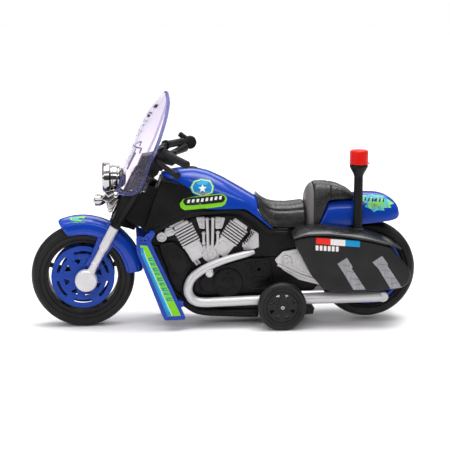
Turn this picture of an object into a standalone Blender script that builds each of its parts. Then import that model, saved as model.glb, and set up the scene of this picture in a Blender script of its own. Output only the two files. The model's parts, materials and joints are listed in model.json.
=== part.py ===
# Friction-drive toy police motorcycle. Metres, +Z up, the machine faces -X, its left side is -Y.
# Shapes are drawn in millimetres with x = 0 under the front axle, then moved so the bounding box
# is centred on the origin and stands on z = 0.
import bpy
import bmesh
import math
from mathutils import Vector, Matrix

# Driving dimensions, in millimetres
XO = -77.8              # moves x = 0 (front axle) so the bounding box is centred
FRONT_R = 28.2          # front tyre
WHEELBASE = 156.8
REAR_AXLE_Z = 29.5      # the rear wheel is carried just clear of the floor
DRIVE_X = 107.4         # driven side wheels
DRIVE_R = 13.2
FORK_HALF = 11.5        # half the distance between the fork legs
HUB_OUT = 13.9          # outer face of the front hub caps
GUARD_OUT = -19.2       # printed face of the leg guards
BAG_OUT = -24.3         # outer face of the saddlebags
SCREEN_T = 1.1          # thickness of the windshield
BEACON_R = 4.95

# Finishes: colour, roughness, metallic
FINISH = {
    "black": ((0.011, 0.011, 0.012), 0.38, 0.0),
    "blue": ((0.005, 0.052, 0.48), 0.20, 0.0),
    "silver": ((0.56, 0.55, 0.56), 0.40, 0.5),
    "chrome": ((0.80, 0.79, 0.81), 0.08, 1.0),
    "screen": ((0.78, 0.76, 0.94), 0.05, 0.0),
    "lens": ((0.93, 0.93, 0.95), 0.05, 0.0),
    "rubber": ((0.014, 0.014, 0.014), 0.52, 0.0),
    "grain": ((0.028, 0.028, 0.030), 0.42, 0.0),
    "red": ((0.76, 0.01, 0.004), 0.35, 0.0),
    "steel": ((0.52, 0.51, 0.50), 0.26, 1.0),
    "gear": ((0.72, 0.70, 0.64), 0.40, 0.0),
}
WEARS = {
    "blue": ("tank_cover", "rear_fender", "leg_guard_left", "leg_guard_right", "front_fender", "front_disc_left",
             "front_disc_right", "rear_rim"),
    "silver": ("engine_left", "engine_right", "exhaust_left", "exhaust_right", "fork_leg_left", "fork_leg_right",
               "swing_plate_left", "swing_plate_right"),
    "chrome": ("headlight_shell",),
    "screen": ("windshield",),
    "lens": ("headlight_lens", "spot_lens", "beacon_bulb"),
    "rubber": ("front_tyre", "rear_tyre"),
    "grain": ("seat", "pillion_pad"),
    "red": ("beacon_cap",),
    "steel": ("body_screw_1", "body_screw_2", "rear_axle", "front_axle", "drive_axle", "flywheel"),
    "gear": ("drive_gear", "idler_gear", "flywheel_pinion"),
}

for ob in list(bpy.data.objects):
    bpy.data.objects.remove(ob, do_unlink=True)
for me in list(bpy.data.meshes):
    bpy.data.meshes.remove(me)
SCENE = bpy.context.scene

# ---------------------------------------------------------------- helpers


def new(verts, faces, weld=True):
    me = bpy.data.meshes.new("m")
    me.from_pydata([tuple(v) for v in verts], [], faces)
    bm = bmesh.new()
    bm.from_mesh(me)
    if weld:
        bmesh.ops.remove_doubles(bm, verts=bm.verts, dist=1e-4)
        bmesh.ops.dissolve_degenerate(bm, edges=bm.edges, dist=1e-5)
    bmesh.ops.recalc_face_normals(bm, faces=bm.faces)
    bm.to_mesh(me)
    bm.free()
    ob = bpy.data.objects.new("o", me)
    SCENE.collection.objects.link(ob)
    return ob


def combine(a, b, op):
    mod = a.modifiers.new("b", "BOOLEAN")
    mod.object = b
    mod.operation = op
    mod.solver = "EXACT"
    bpy.context.view_layer.update()
    dg = bpy.context.evaluated_depsgraph_get()
    me = bpy.data.meshes.new_from_object(a.evaluated_get(dg))
    a.modifiers.clear()
    old = a.data
    a.data = me
    bpy.data.meshes.remove(old)
    bpy.data.objects.remove(b, do_unlink=True)
    return a


def union(a, *bs):
    for b in bs:
        combine(a, b, "UNION")
    return a


def cut(a, *bs):
    for b in bs:
        combine(a, b, "DIFFERENCE")
    return a


def keep(a, b):
    return combine(a, b, "INTERSECT")


def twin(ob):
    """The mirror image across y = 0."""
    me = ob.data.copy()
    bm = bmesh.new()
    bm.from_mesh(me)
    for v in bm.verts:
        v.co.y = -v.co.y
    bmesh.ops.reverse_faces(bm, faces=bm.faces)
    bm.to_mesh(me)
    bm.free()
    new_ob = bpy.data.objects.new("o", me)
    SCENE.collection.objects.link(new_ob)
    return new_ob


def prism(outline, y0, y1):
    n = len(outline)
    verts = [(x, y0, z) for x, z in outline] + [(x, y1, z) for x, z in outline]
    faces = [(i, (i + 1) % n, (i + 1) % n + n, i + n) for i in range(n)]
    faces += [tuple(range(n - 1, -1, -1)), tuple(range(n, 2 * n))]
    return new(verts, faces)


def box(x0, x1, y0, y1, z0, z1):
    return prism([(x0, z0), (x1, z0), (x1, z1), (x0, z1)], y0, y1)


def loft(rings):
    """Closed loops of equal size, joined in order and capped at both ends."""
    n = len(rings[0])
    verts = [p for ring in rings for p in ring]
    faces = []
    for k in range(len(rings) - 1):
        for i in range(n):
            j = (i + 1) % n
            faces.append((k * n + i, k * n + j, (k + 1) * n + j, (k + 1) * n + i))
    faces.append(tuple(range(n - 1, -1, -1)))
    last = (len(rings) - 1) * n
    faces.append(tuple(range(last, last + n)))
    ob = new(verts, faces)
    bm = bmesh.new()
    bm.from_mesh(ob.data)
    bmesh.ops.triangulate(bm, faces=bm.faces)
    bm.to_mesh(ob.data)
    bm.free()
    return ob


def frame_of(direction):
    d = Vector(direction).normalized()
    up = Vector((0, 1, 0)) if abs(d.y) < 0.9 else Vector((0, 0, 1))
    u = d.cross(up).normalized()
    return u, u.cross(d).normalized()


def lathe(profile, n=32, at=(0, 0, 0), axis=(0, 1, 0), turn=0.0):
    """(radius, height) pairs turned about an axis. Poles at both ends, or a closed ring."""
    d = Vector(axis).normalized()
    u, v = frame_of(d)
    at = Vector(at)
    poles = profile[0][0] < 1e-6 and profile[-1][0] < 1e-6
    body = profile[1:-1] if poles else profile
    verts = []
    for r, h in body:
        for k in range(n):
            a = turn + 2 * math.pi * k / n
            verts.append(at + d * h + (u * math.cos(a) + v * math.sin(a)) * r)
    m = len(body)
    faces = []
    for i in range(m - 1 if poles else m):
        j = (i + 1) % m
        for k in range(n):
            q = (k + 1) % n
            faces.append((i * n + k, i * n + q, j * n + q, j * n + k))
    if poles:
        a, b = len(verts), len(verts) + 1
        verts += [at + d * profile[0][1], at + d * profile[-1][1]]
        for k in range(n):
            q = (k + 1) % n
            faces.append((a, q, k))
            faces.append((b, (m - 1) * n + k, (m - 1) * n + q))
    return new(verts, faces)


def rod(p, q, r, n=20, r2=None):
    p, q = Vector(p), Vector(q)
    d = q - p
    r2 = r if r2 is None else r2
    return lathe([(0, 0), (r, 0), (r2, d.length), (0, d.length)], n, p, d)


def spline(points, per=4):
    """Catmull-Rom through the points."""
    pts = [Vector(p) for p in points]
    out = []
    for i in range(len(pts) - 1):
        p0, p1, p2 = pts[max(i - 1, 0)], pts[i], pts[i + 1]
        p3 = pts[min(i + 2, len(pts) - 1)]
        for k in range(per):
            t = k / per
            out.append(0.5 * ((2 * p1) + (p2 - p0) * t + (2 * p0 - 5 * p1 + 4 * p2 - p3) * t * t
                              + (3 * p1 - p0 - 3 * p2 + p3) * t * t * t))
    out.append(pts[-1])
    return out


def value(table, x):
    """Straight-line reading of a table of (x, value)."""
    if x <= table[0][0]:
        return table[0][1]
    for (x0, v0), (x1, v1) in zip(table, table[1:]):
        if x <= x1:
            return v0 + (v1 - v0) * (x - x0) / (x1 - x0) if x1 > x0 else v1
    return table[-1][1]


def tube(path, radii, n=14):
    """A round bar along a path. radii: one per path point."""
    path = [Vector(p) for p in path]
    rings = []
    side = None
    for i, p in enumerate(path):
        a = path[max(i - 1, 0)]
        b = path[min(i + 1, len(path) - 1)]
        t = (b - a).normalized()
        if side is None:
            side, _ = frame_of(t)
        side = (side - t * side.dot(t)).normalized()
        other = t.cross(side)
        rings.append([p + (side * math.cos(2 * math.pi * k / n) + other * math.sin(2 * math.pi * k / n)) * radii[i]
                      for k in range(n)])
    return loft(rings)


def arch(x, low, top, half, n=9, power=2.6):
    """A cross-section in the plane x: flat underneath, rounded over the top."""
    ring = []
    for k in range(n):
        a = math.pi * k / (n - 1)
        c, s = math.cos(a), math.sin(a)
        y = -half * math.copysign(abs(c) ** (2 / power), c)
        z = low + (top - low) * (abs(s) ** (2 / power))
        ring.append((x, y, z))
    return ring


def gear_outline(teeth, module, phase, at, pressure=25.0, add=0.82, ded=1.12, thin=0.075):
    """An involute outline, a tooth centred on the angle `phase`."""
    rp = module * teeth / 2
    rb = rp * math.cos(math.radians(pressure))
    ra = rp + add * module
    rf = rp - ded * module
    inv = lambda a: math.tan(a) - a
    half = math.pi / (2 * teeth) - thin / (2 * rp)
    base = half + inv(math.radians(pressure))
    flank = [(ra, base - inv(math.acos(rb / ra)))]
    out = []
    for t in range(teeth):
        c = phase + 2 * math.pi * t / teeth
        out.append((rf, c - base))
        out += [(r, c - a) for r, a in flank]
        out += [(r, c + a) for r, a in reversed(flank)]
        out.append((rf, c + base))
    return [(at[0] + r * math.cos(a), at[1] + r * math.sin(a)) for r, a in out]


NODES = []


def node(ob, name, origin=(0.0, 0.0, 0.0)):
    """Names the piece, puts it in metres, with its own origin on its joint."""
    o = Vector((origin[0] + XO, origin[1], origin[2])) * 0.001 if origin != (0.0, 0.0, 0.0) else Vector((0, 0, 0))
    bm = bmesh.new()
    bm.from_mesh(ob.data)
    bmesh.ops.dissolve_limit(bm, angle_limit=math.radians(0.4), use_dissolve_boundaries=False, verts=bm.verts, edges=bm.edges)
    bmesh.ops.triangulate(bm, faces=bm.faces)
    for v in bm.verts:
        v.co = Vector((v.co.x + XO, v.co.y, v.co.z)) * 0.001 - o
    bm.to_mesh(ob.data)
    bm.free()
    ob.location = o
    ob.name = name
    ob.data.name = name
    wears = next((k for k, names in WEARS.items() if name in names), "black")
    colour, rough, metal = FINISH[wears]
    mat = bpy.data.materials.new(name)
    mat.use_nodes = True
    skin = mat.node_tree.nodes["Principled BSDF"]
    skin.inputs["Base Color"].default_value = (*colour, 1.0)
    skin.inputs["Roughness"].default_value = rough
    skin.inputs["Metallic"].default_value = metal
    ob.data.materials.clear()
    ob.data.materials.append(mat)
    ob.data.shade_smooth()
    ob.data.set_sharp_from_angle(angle=math.radians(35))
    NODES.append(name)
    return ob


# ---------------------------------------------------------------- the steering line

D = Vector((0.4745, 0.0, 0.8803)).normalized()      # up along the fork
N = Vector((D.z, 0.0, -D.x))                        # square to it, towards the rear
LEG0 = Vector((1.9, 0.0, 27.3))                     # foot of the legs, just behind the front axle
STEER0 = LEG0 + D * 38.9 + N * 7.4                  # bottom of the steering tube
NECK = 22.6                                         # its length


def leg(s, y=0.0, off=0.0):
    p = LEG0 + D * s + N * off
    return Vector((p.x, y, p.z))


def stem(s, off=0.0, y=0.0):
    p = STEER0 + D * s + N * off
    return Vector((p.x, y, p.z))


STEER = (STEER0.x, 0.0, STEER0.z)
FW = (0.0, 0.0, FRONT_R)
RW = (WHEELBASE, 0.0, REAR_AXLE_Z)
DA = (DRIVE_X, 0.0, DRIVE_R)

# ---------------------------------------------------------------- body halves

TANK_LOW = [(43.2, 83.4), (47.6, 81.5), (54.0, 79.6), (58.1, 76.8), (62.0, 71.0), (66.2, 65.9), (86.9, 66.0),
            (93.6, 61.8), (97.8, 58.4), (102.5, 54.5)]
body_outline = [(stem(NECK, -4.5).x, stem(NECK, -4.5).z), (stem(NECK, 4.5).x, stem(NECK, 4.5).z), (42.8, 82.0)]
body_outline += [(x, z - 0.4) for x, z in TANK_LOW[1:]]
body_outline += [(103.4, 54.1), (104.4, 54.7), (120.6, 54.6), (127.4, 54.5), (131.8, 51.2), (128.4, 44.5), (126.8, 38.2),
                 (96.2, 38.2), (96.2, 6.2), (76.0, 6.4), (63.0, 7.8), (56.6, 11.2), (50.8, 16.2), (46.1, 22.8), (41.5, 36.0),
                 (38.5, 46.5),
                 (36.6, 51.3), (31.8, 55.6), (stem(0, 4.5).x, stem(0, 4.5).z), (stem(0, -4.5).x, stem(0, -4.5).z)]
side_panel = [(42.9, 82.2)] + [(x, z - 0.4) for x, z in TANK_LOW[1:]]
side_panel += [(103.4, 54.1), (104.4, 54.7), (112.3, 54.6), (111.8, 50.8), (101.5, 51.4), (96.0, 55.6), (91.8, 59.4), (85.6, 63.0), (77.7, 63.4), (66.0, 62.8),
               (55.5, 60.6), (37.0, 51.9), (33.6, 55.2), (38.6, 70.0)]
lower_tube = spline([(39.2, -8.3, 45.0), (42.9, -8.3, 34.8), (46.8, -8.3, 23.9), (51.4, -8.3, 17.2), (56.6, -8.3, 12.6),
                     (63.2, -8.3, 8.8), (75.0, -8.3, 7.5), (95.6, -8.3, 6.6)], 1)
half_body = prism(body_outline, -8.0, -0.15)
cut(half_body, prism([(45.0, 55.0), (56.0, 62.0), (66.0, 63.6), (88.0, 63.6), (96.0, 56.0), (101.0, 51.5), (123.0, 50.5),
                      (123.0, 40.6), (94.0, 40.6), (94.0, 9.0), (66.0, 9.0), (57.0, 14.0), (51.0, 23.0), (46.5, 36.0)],
                     -6.2, 0.2))
cut(half_body, prism([(44.5, 79.2), (53.0, 76.6), (56.5, 74.0), (60.5, 68.0), (62.0, 65.2), (56.0, 64.0), (43.5, 58.5),
                      (43.5, 70.0)], -6.2, 0.2))
union(half_body, prism(side_panel, -12.4, -7.0))
union(half_body, tube(lower_tube, [2.35] * len(lower_tube), 8))
cut(half_body, rod(stem(-3), stem(NECK + 3), 2.7, 20))
cut(half_body, rod((107.4, -20, 13.2), (107.4, 5, 13.2), 1.9, 16))
half_right = twin(half_body)
node(half_body, "body_left")
for x, z in ((64.0, 11.0), (118.0, 46.0)):
    cut(half_right, rod((x, 7.0, z), (x, 9.0, z), 2.3, 16))
node(half_right, "body_right")
for i, (x, z) in enumerate([(64.0, 11.0), (118.0, 46.0)]):
    screw = lathe([(0, 0), (1.9, 0), (1.9, 0.6), (1.2, 1.1), (0, 1.1)], 16, (x, 7.25, z))
    cut(screw, box(x - 1.2, x + 1.2, 8.0, 9.0, z - 0.25, z + 0.25))
    node(screw, "body_screw_%d" % (i + 1))

# ---------------------------------------------------------------- tank, seat, pillion pad, rear fender

TANK_TOP = [(43.2, 84.3), (45.3, 85.0), (50.8, 86.3), (58.9, 86.9), (67.1, 85.4), (75.3, 82.0), (83.5, 77.4), (90.6, 73.2),
            (94.6, 70.8)]
TANK_HALF = [(43.2, 5.0), (47.0, 8.6), (52.0, 11.4), (58.0, 13.2), (66.0, 14.2), (76.0, 14.6), (86.0, 14.0), (94.6, 13.2),
             (102.5, 12.8)]
SEAT_LOW = [(95.0, 65.0), (97.8, 60.6), (102.5, 56.4), (106.0, 55.3), (112.3, 55.0), (121.0, 55.0)]
rings = []
for x in (43.2, 45.3, 48.5, 53.0, 58.1, 62.0, 66.2, 72.0, 79.0, 86.9, 91.0, 94.6):
    rings.append(arch(x, value(TANK_LOW, x), value(TANK_TOP, x), value(TANK_HALF, x), 11, 2.9))
for x in (94.61, 96.2, 97.8, 100.4, 102.4):
    rings.append(arch(x, value(TANK_LOW, x), value(SEAT_LOW, x) - 0.35, value(TANK_HALF, x), 11, 9.0))
tank = loft(rings)
inner = []
for x in (52.0, 58.1, 62.0, 66.2, 72.0, 79.0, 86.9, 92.8):
    inner.append(arch(x, value(TANK_LOW, x) - 3.0, value(TANK_TOP, x) - 1.7, value(TANK_HALF, x) - 1.7, 7, 2.6))
cut(tank, loft(inner))
cap = (59.1, 0.0, 86.0)
cut(tank, lathe([(0, -1.2), (4.3, -1.2), (4.3, 3.0), (0, 3.0)], 20, cap, (0, 0, 1)))
node(tank, "tank_cover")
node(lathe([(0, -0.85), (3.9, -0.85), (3.9, 0.75), (3.3, 1.15), (0, 1.15)], 16, cap, (0, 0, 1)),
     "fuel_cap")

SEAT_TOP = [(95.0, 73.0), (98.4, 70.0), (102.8, 68.0), (107.0, 67.4), (111.1, 67.3), (115.5, 67.7), (120.9, 68.3)]
SEAT_HALF = [(95.0, 12.8), (103.0, 12.6), (112.3, 11.2), (120.9, 11.0)]
seat = loft([arch(x, value(SEAT_LOW, x), value(SEAT_TOP, x), value(SEAT_HALF, x), 11, 3.2)
             for x in (95.0, 96.6, 98.4, 102.8, 106.0, 112.3, 116.5, 120.9)])
node(seat, "seat")

PAD_TOP = [(121.3, 69.0), (121.8, 72.0), (123.2, 75.2), (125.4, 77.6), (128.0, 78.6), (133.0, 78.4), (138.7, 77.4),
           (143.5, 75.4), (147.2, 72.9), (148.2, 71.0)]
PAD_LOW = [(121.3, 55.2), (127.9, 55.4), (133.2, 69.2), (136.0, 69.8), (148.2, 70.2)]
PAD_HALF = [(121.3, 5.4), (121.8, 7.2), (123.2, 9.4), (125.4, 10.7), (127.9, 11.0), (140.0, 10.6), (148.2, 9.0)]
pad = loft([arch(x, value(PAD_LOW, x), value(PAD_TOP, x), value(PAD_HALF, x), 11, 3.4)
            for x in (121.3, 121.8, 123.2, 125.4, 127.9, 133.2, 138.5, 143.5, 146.4, 148.2)])
node(pad, "pillion_pad")

FEN_TOP = [(128.6, 56.4), (133.5, 68.7), (136.0, 69.4), (148.4, 69.8), (148.8, 71.6), (154.0, 72.2), (161.1, 71.9),
           (165.4, 71.0), (168.7, 69.5), (171.2, 67.4), (172.8, 65.0), (173.5, 62.2)]
FEN_LOW = [(128.6, 55.2), (142.7, 55.4), (153.8, 56.2), (162.0, 57.0), (168.4, 57.8), (171.6, 58.7), (173.5, 60.4)]
FEN_HALF = [(128.6, 10.9), (160.0, 11.0), (167.4, 10.6), (171.4, 9.4), (173.5, 7.8)]
fender = loft([arch(x, value(FEN_LOW, x), value(FEN_TOP, x), value(FEN_HALF, x), 11, 3.4)
               for x in (128.6, 133.5, 136.0, 148.4, 148.8, 154.0, 161.1, 165.4, 168.7, 171.2, 172.8, 173.5)])
cut(fender, prism([(135.5, 50.0), (136.5, 67.2), (150.0, 68.2), (158.0, 69.6), (164.4, 68.6), (168.4, 66.0), (170.6, 63.0),
                   (171.2, 50.0)], -9.2, 9.2))
node(fender, "rear_fender")

# ---------------------------------------------------------------- engine side pieces


def fins(base, tip, w0, w1, count, tooth):
    """The side outline of a finned barrel from base to tip, w0 and w1 its half-widths."""
    b, t = Vector((base[0], 0, base[1])), Vector((tip[0], 0, tip[1]))
    d = (t - b).normalized()
    n = Vector((d.z, 0, -d.x))
    length = (t - b).length
    right, left = [], []
    for k in range(count):
        s0 = length * (0.42 + 0.42 * k / count)
        s1 = s0 + length * 0.42 / count * 0.55
        for s, extra in ((s0, 0.0), (s0, tooth), (s1, tooth), (s1, 0.0)):
            w = w0 + (w1 - w0) * s / length + extra
            right.append(b + d * s + n * w)
            left.append(b + d * s - n * w)
    start = [b - n * w0, b + n * w0]
    top = [t + n * (w1 - 0.4), t - n * (w1 - 0.4)]
    pts = start + right + [t - d * 1.2 + n * (w1 + 0.5)] + top + [t - d * 1.2 - n * (w1 + 0.5)] + left[::-1]
    return [(p.x, p.z) for p in pts]


engine = prism([(41.6, 50.0), (47.2, 54.8), (56.0, 59.6), (66.0, 61.6), (78.0, 61.8), (85.0, 61.0), (90.6, 57.2),
                (96.0, 51.2), (96.2, 43.0), (90.0, 42.6), (78.0, 37.8), (66.0, 35.2), (61.0, 38.5), (55.0, 46.6),
                (48.0, 48.6)], -9.4, -8.35)
union(engine, prism(fins((63.6, 38.2), (53.4, 58.2), 4.6, 5.0, 4, 0.7), -11.1, -9.0))
union(engine, prism(fins((73.4, 40.6), (86.0, 58.2), 4.6, 5.0, 4, 0.7), -11.15, -9.0))
union(engine, rod((68.6, -11.3, 41.2), (68.6, -9.0, 41.2), 4.4, 14))
union(engine, rod((68.6, -11.9, 41.2), (68.6, -9.0, 41.2), 2.4, 10))
union(engine, rod((42.9, -11.2, 50.0), (42.9, -8.6, 50.0), 2.7, 10))
union(engine, prism([(43.0, 47.4), (50.0, 50.2), (50.0, 53.4), (44.0, 52.0)], -10.6, -9.0))
union(engine, rod((67.2, -10.26, 43.7), (66.6, -10.26, 60.4), 1.1, 6))
union(engine, rod((70.0, -10.26, 43.3), (70.4, -10.26, 60.4), 1.1, 6))
node(twin(engine), "engine_right")
node(engine, "engine_left")

case = prism([(60.0, 21.0), (61.2, 27.6), (66.0, 31.4), (78.0, 34.6), (90.0, 37.8), (101.8, 37.6), (103.0, 24.2),
              (100.6, 19.0), (90.0, 18.4), (66.0, 17.8), (62.0, 18.6)], -10.9, -8.35)
union(case, lathe([(0, 0), (7.6, 0), (8.0, 0.4), (8.0, 2.0), (0, 2.0)], 20, (78.6, -11.25, 24.6)))
union(case, rod((68.4, -11.3, 24.6), (68.4, -9.0, 24.6), 5.4, 16))
union(case, lathe([(0, 0.5), (2.9, 0.5), (3.2, 0), (4.4, 0), (4.4, 2.0), (0, 2.0)], 12, (95.6, -11.3, 31.8)))
node(twin(case), "crankcase_cover_right")
node(case, "crankcase_cover_left")
filt = prism([(41.6, 46.8), (49.5, 47.6), (54.0, 43.6), (59.2, 34.8), (57.2, 30.6), (54.4, 24.6), (53.6, 19.0),
              (51.0, 19.8), (47.4, 26.0), (45.9, 33.0), (42.6, 41.0)], -11.2, -8.35)
cut(filt, tube(lower_tube, [2.7] * len(lower_tube), 8))
node(twin(filt), "front_cover_right")
node(filt, "front_cover_left")

# ---------------------------------------------------------------- exhaust pipes

pipe_path = spline([(93.0, -12.5, 41.9), (88.5, -13.6, 41.0), (85.0, -14.0, 40.3), (76.8, -14.2, 38.0), (68.0, -14.2, 34.6),
                    (60.8, -14.2, 30.0), (57.7, -14.2, 26.0), (56.8, -14.2, 21.6), (58.2, -14.2, 17.6), (61.4, -14.2, 15.3),
                    (66.4, -14.2, 14.6), (74.0, -14.2, 14.8), (93.2, -14.2, 15.3), (102.0, -14.2, 15.6), (121.8, -14.2, 15.8),
                    (146.0, -14.2, 16.1), (163.2, -14.2, 16.4)], 1)
lengths = [0.0]
for a, b in zip(pipe_path, pipe_path[1:]):
    lengths.append(lengths[-1] + (b - a).length)
radius = [(0, 1.1), (6, 1.9), (20, 2.1), (36, 2.4), (55, 2.6), (80, 2.6), (92, 2.65), (200, 2.9)]
pipe = tube(pipe_path, [value(radius, s) for s in lengths], 9)
union(pipe, rod((68.4, -16.2, 31.0), (68.4, -13.2, 31.0), 2.2, 12))
union(pipe, lathe([(0, 0), (2.2, 0), (2.9, 0.6), (2.9, 5.2), (0, 5.2)], 16, (163.6, -17.0, 16.4)))
cut(pipe, rod((107.4, -20, 13.2), (107.4, -10, 13.2), 1.7, 12))
cut(pipe, box(105.7, 109.1, -20, -10, 10, 13.2))
node(twin(pipe), "exhaust_right")
node(pipe, "exhaust_left")

# ---------------------------------------------------------------- leg guards

guard = prism([(29.0, 51.2), (30.2, 52.3), (35.4, 51.7), (36.4, 50.2), (46.9, 26.6), (55.2, 7.5), (54.6, 6.2), (44.0, 6.0),
               (42.8, 8.2), (29.4, 43.6)], -18.4, -16.0)
union(guard, prism([(30.3, 50.8), (35.2, 50.3), (45.8, 26.4), (53.6, 8.0), (44.6, 7.8), (30.7, 43.8)], GUARD_OUT, -17.0))
union(guard, prism([(32.5, 49.6), (34.4, 52.8), (37.6, 55.6), (39.4, 54.0), (36.6, 48.9)], -17.4, -16.0))
union(guard, rod((37.3, -17.0, 53.8), (37.3, -12.75, 53.8), 1.3, 12))
union(guard, prism([(48.6, 13.2), (50.2, 16.6), (54.0, 16.2), (54.2, 13.0)], -17.4, -16.0))
union(guard, rod((52.3, -17.0, 14.8), (52.3, -11.0, 14.8), 1.3, 12))
node(twin(guard), "leg_guard_right")
node(guard, "leg_guard_left")

# ---------------------------------------------------------------- saddlebags, lids, beacon

EDGE = [(112.8, 51.2), (116.0, 52.0), (121.6, 52.9), (130.0, 53.0), (137.8, 52.3), (146.0, 51.0), (154.1, 49.5),
        (160.0, 48.1), (166.7, 46.4), (171.4, 44.6)]
bag_outline = [(113.4, 50.5)] + [(x, z - 0.7) for x, z in EDGE[1:-2]] + [(166.4, 45.4), (176.6, 32.6), (177.1, 29.2),
               (175.6, 25.4), (173.0, 23.4), (168.4, 22.2), (146.6, 21.0), (134.0, 21.4), (128.6, 23.8), (123.0, 30.6),
               (116.3, 43.2), (113.6, 48.4)]
centre = (146.0, 36.5)


def shrink(outline, k):
    return [(centre[0] + (x - centre[0]) * (1 - k / 31.0), centre[1] + (z - centre[1]) * (1 - k / 15.0)) for x, z in outline]


bag = loft([[(x, y, z) for x, z in shrink(bag_outline, k)] for y, k in
            ((-11.6, 0.5), (-12.2, 0.0), (-23.2, 0.0), (-24.0, 0.35), (BAG_OUT, 1.1))])
cut(bag, prism([(x, z + (3.0 if z > 45.5 else 0.0)) for x, z in shrink(bag_outline, 1.6)], -22.8, -13.2))
union(bag, rod((126.0, -12.4, 33.0), (126.0, -10.35, 33.0), 2.0, 12))
union(bag, rod((154.0, -12.4, 31.0), (154.0, -10.35, 31.0), 2.0, 12))
bag_right = twin(bag)
node(bag, "saddlebag_left")
node(bag_right, "saddlebag_right")

CROWN = [(112.8, 1.6), (116.0, 2.9), (125.0, 3.4), (137.8, 3.4), (150.0, 3.6), (158.0, 3.2), (165.0, 2.3), (171.4, 0.4)]
stations = (112.8, 116.0, 121.6, 130.0, 137.8, 146.0, 154.1, 160.0, 166.7, 171.4)
lid_rings = []
for y, f, g in ((-11.6, 1.0, 0.0), (-15.0, 0.97, 0.0), (-18.5, 0.82, 0.0), (-21.5, 0.55, 0.0), (-23.6, 0.28, 0.0),
                (-24.5, 0.10, 0.0)):
    ring = [(x, y, value(EDGE, x) - 0.35) for x in stations]
    ring += [(x, y, value(EDGE, x) + 0.35 + value(CROWN, x) * f) for x in reversed(stations)]
    lid_rings.append(ring)
lid = loft(lid_rings)
lid_right = twin(lid)
POST = (149.0, -14.4)
cut(lid, rod((POST[0], POST[1], 40.0), (POST[0], POST[1], 60.0), 2.85, 20))
node(lid, "bag_lid_left")
node(lid_right, "bag_lid_right")
node(lathe([(0, 50.3), (2.5, 50.3), (2.4, 83.0), (4.9, 88.4), (4.9, 89.4), (3.4, 89.4), (3.4, 87.6), (0, 87.6)], 18,
           (POST[0], POST[1], 0), (0, 0, 1)), "beacon_post")
node(lathe([(0, 97.2), (4.3, 97.2), (4.9, 96.5), (BEACON_R, 89.7), (3.9, 89.7), (3.9, 96.0), (0, 96.0)], 20,
           (POST[0], POST[1], 0), (0, 0, 1)), "beacon_cap")
node(lathe([(0, 87.9), (2.9, 87.9), (2.9, 92.6), (2.0, 94.6), (0, 95.4)], 10, (POST[0], POST[1], 0), (0, 0, 1)),
     "beacon_bulb")

# ---------------------------------------------------------------- swing plates, rear axle, belly step

swing = prism([(104.2, 36.6), (108.9, 41.2), (116.5, 42.6), (126.0, 38.6), (150.0, 34.2), (160.2, 33.4), (161.6, 29.5),
               (160.0, 25.8), (150.0, 24.6), (132.0, 21.4), (118.0, 25.2), (108.9, 31.0)], -10.05, -8.75)
union(swing, rod((112.0, -10.6, 37.0), (112.0, -9.0, 37.0), 2.6, 16))
union(swing, prism([(109.5, 31.6), (132.0, 22.4), (133.5, 24.0), (110.5, 33.2)], -10.6, -9.0))
cut(swing, rod((156.8, -12, 29.5), (156.8, -7, 29.5), 1.75, 16))
cut(swing, prism([(99.0, 38.0), (99.0, 7.0), (103.3, 7.0), (103.3, 38.0)], -12, -7))
node(twin(swing), "swing_plate_right")
node(swing, "swing_plate_left")
node(rod((RW[0], -10.2, RW[2]), (RW[0], 10.2, RW[2]), 1.4, 20), "rear_axle")
step = prism([(116.9, 11.6), (122.3, 12.0), (126.6, 9.6), (125.8, 6.2), (121.6, 5.9), (116.9, 6.6)], -12.0, 12.0)
node(step, "belly_step")

# ---------------------------------------------------------------- friction motor

GA = (DRIVE_X, DRIVE_R)
IA = (104.6, 21.07)
k = 8.35 / math.dist(GA, IA)
IA = (GA[0] + (IA[0] - GA[0]) * k, GA[1] + (IA[1] - GA[1]) * k)
FA = (107.6, 29.4)
k = 8.85 / math.dist(IA, FA)
FA = (IA[0] + (FA[0] - IA[0]) * k, IA[1] + (FA[1] - IA[1]) * k)
phi1 = math.atan2(IA[1] - GA[1], IA[0] - GA[0])
phi2 = math.atan2(FA[1] - IA[1], FA[0] - IA[0])
gear = prism(gear_outline(22, 0.5, phi1, GA), -5.2, -2.2)
union(gear, rod((GA[0], -6.0, GA[1]), (GA[0], -2.0, GA[1]), 2.3, 16))
cut(gear, rod((GA[0], -8.0, GA[1]), (GA[0], 2.0, GA[1]), 1.25, 16))
node(gear, "drive_gear", DA)
idler = prism(gear_outline(11, 0.5, phi1 + math.pi + math.pi / 11, IA), -5.4, -1.4)
union(idler, prism(gear_outline(24, 0.5, phi2, IA), -1.5, 0.8))
union(idler, rod((IA[0], -7.9, IA[1]), (IA[0], 7.9, IA[1]), 0.9, 14))
node(idler, "idler_gear", (IA[0], 0, IA[1]))
pinion = prism(gear_outline(11, 0.5, phi2 + math.pi + math.pi / 11, FA), -1.7, 1.0)
union(pinion, rod((FA[0], -7.9, FA[1]), (FA[0], 7.9, FA[1]), 0.9, 14))
node(pinion, "flywheel_pinion", (FA[0], 0, FA[1]))
wheel = lathe([(1.15, 2.2), (2.4, 2.2), (2.4, 2.8), (5.0, 2.8), (5.0, 2.2), (6.8, 2.2), (6.8, 6.2), (5.0, 6.2), (5.0, 5.6),
               (1.15, 5.6)], 20, (FA[0], 0, FA[1]))
node(wheel, "flywheel", (FA[0], 0, FA[1]))
half_case = box(96.6, 116.5, -7.9, -0.2, 5.9, 37.8)
cut(half_case, box(97.8, 115.3, -6.9, 0.5, 7.1, 36.6))
for c, r in ((GA, 1.75), (IA, 1.15), (FA, 1.15)):
    cut(half_case, rod((c[0], -9.0, c[1]), (c[0], 1.0, c[1]), r, 16))
node(twin(half_case), "motor_case_right")
node(half_case, "motor_case_left")

# ---------------------------------------------------------------- driven side wheels

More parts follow.
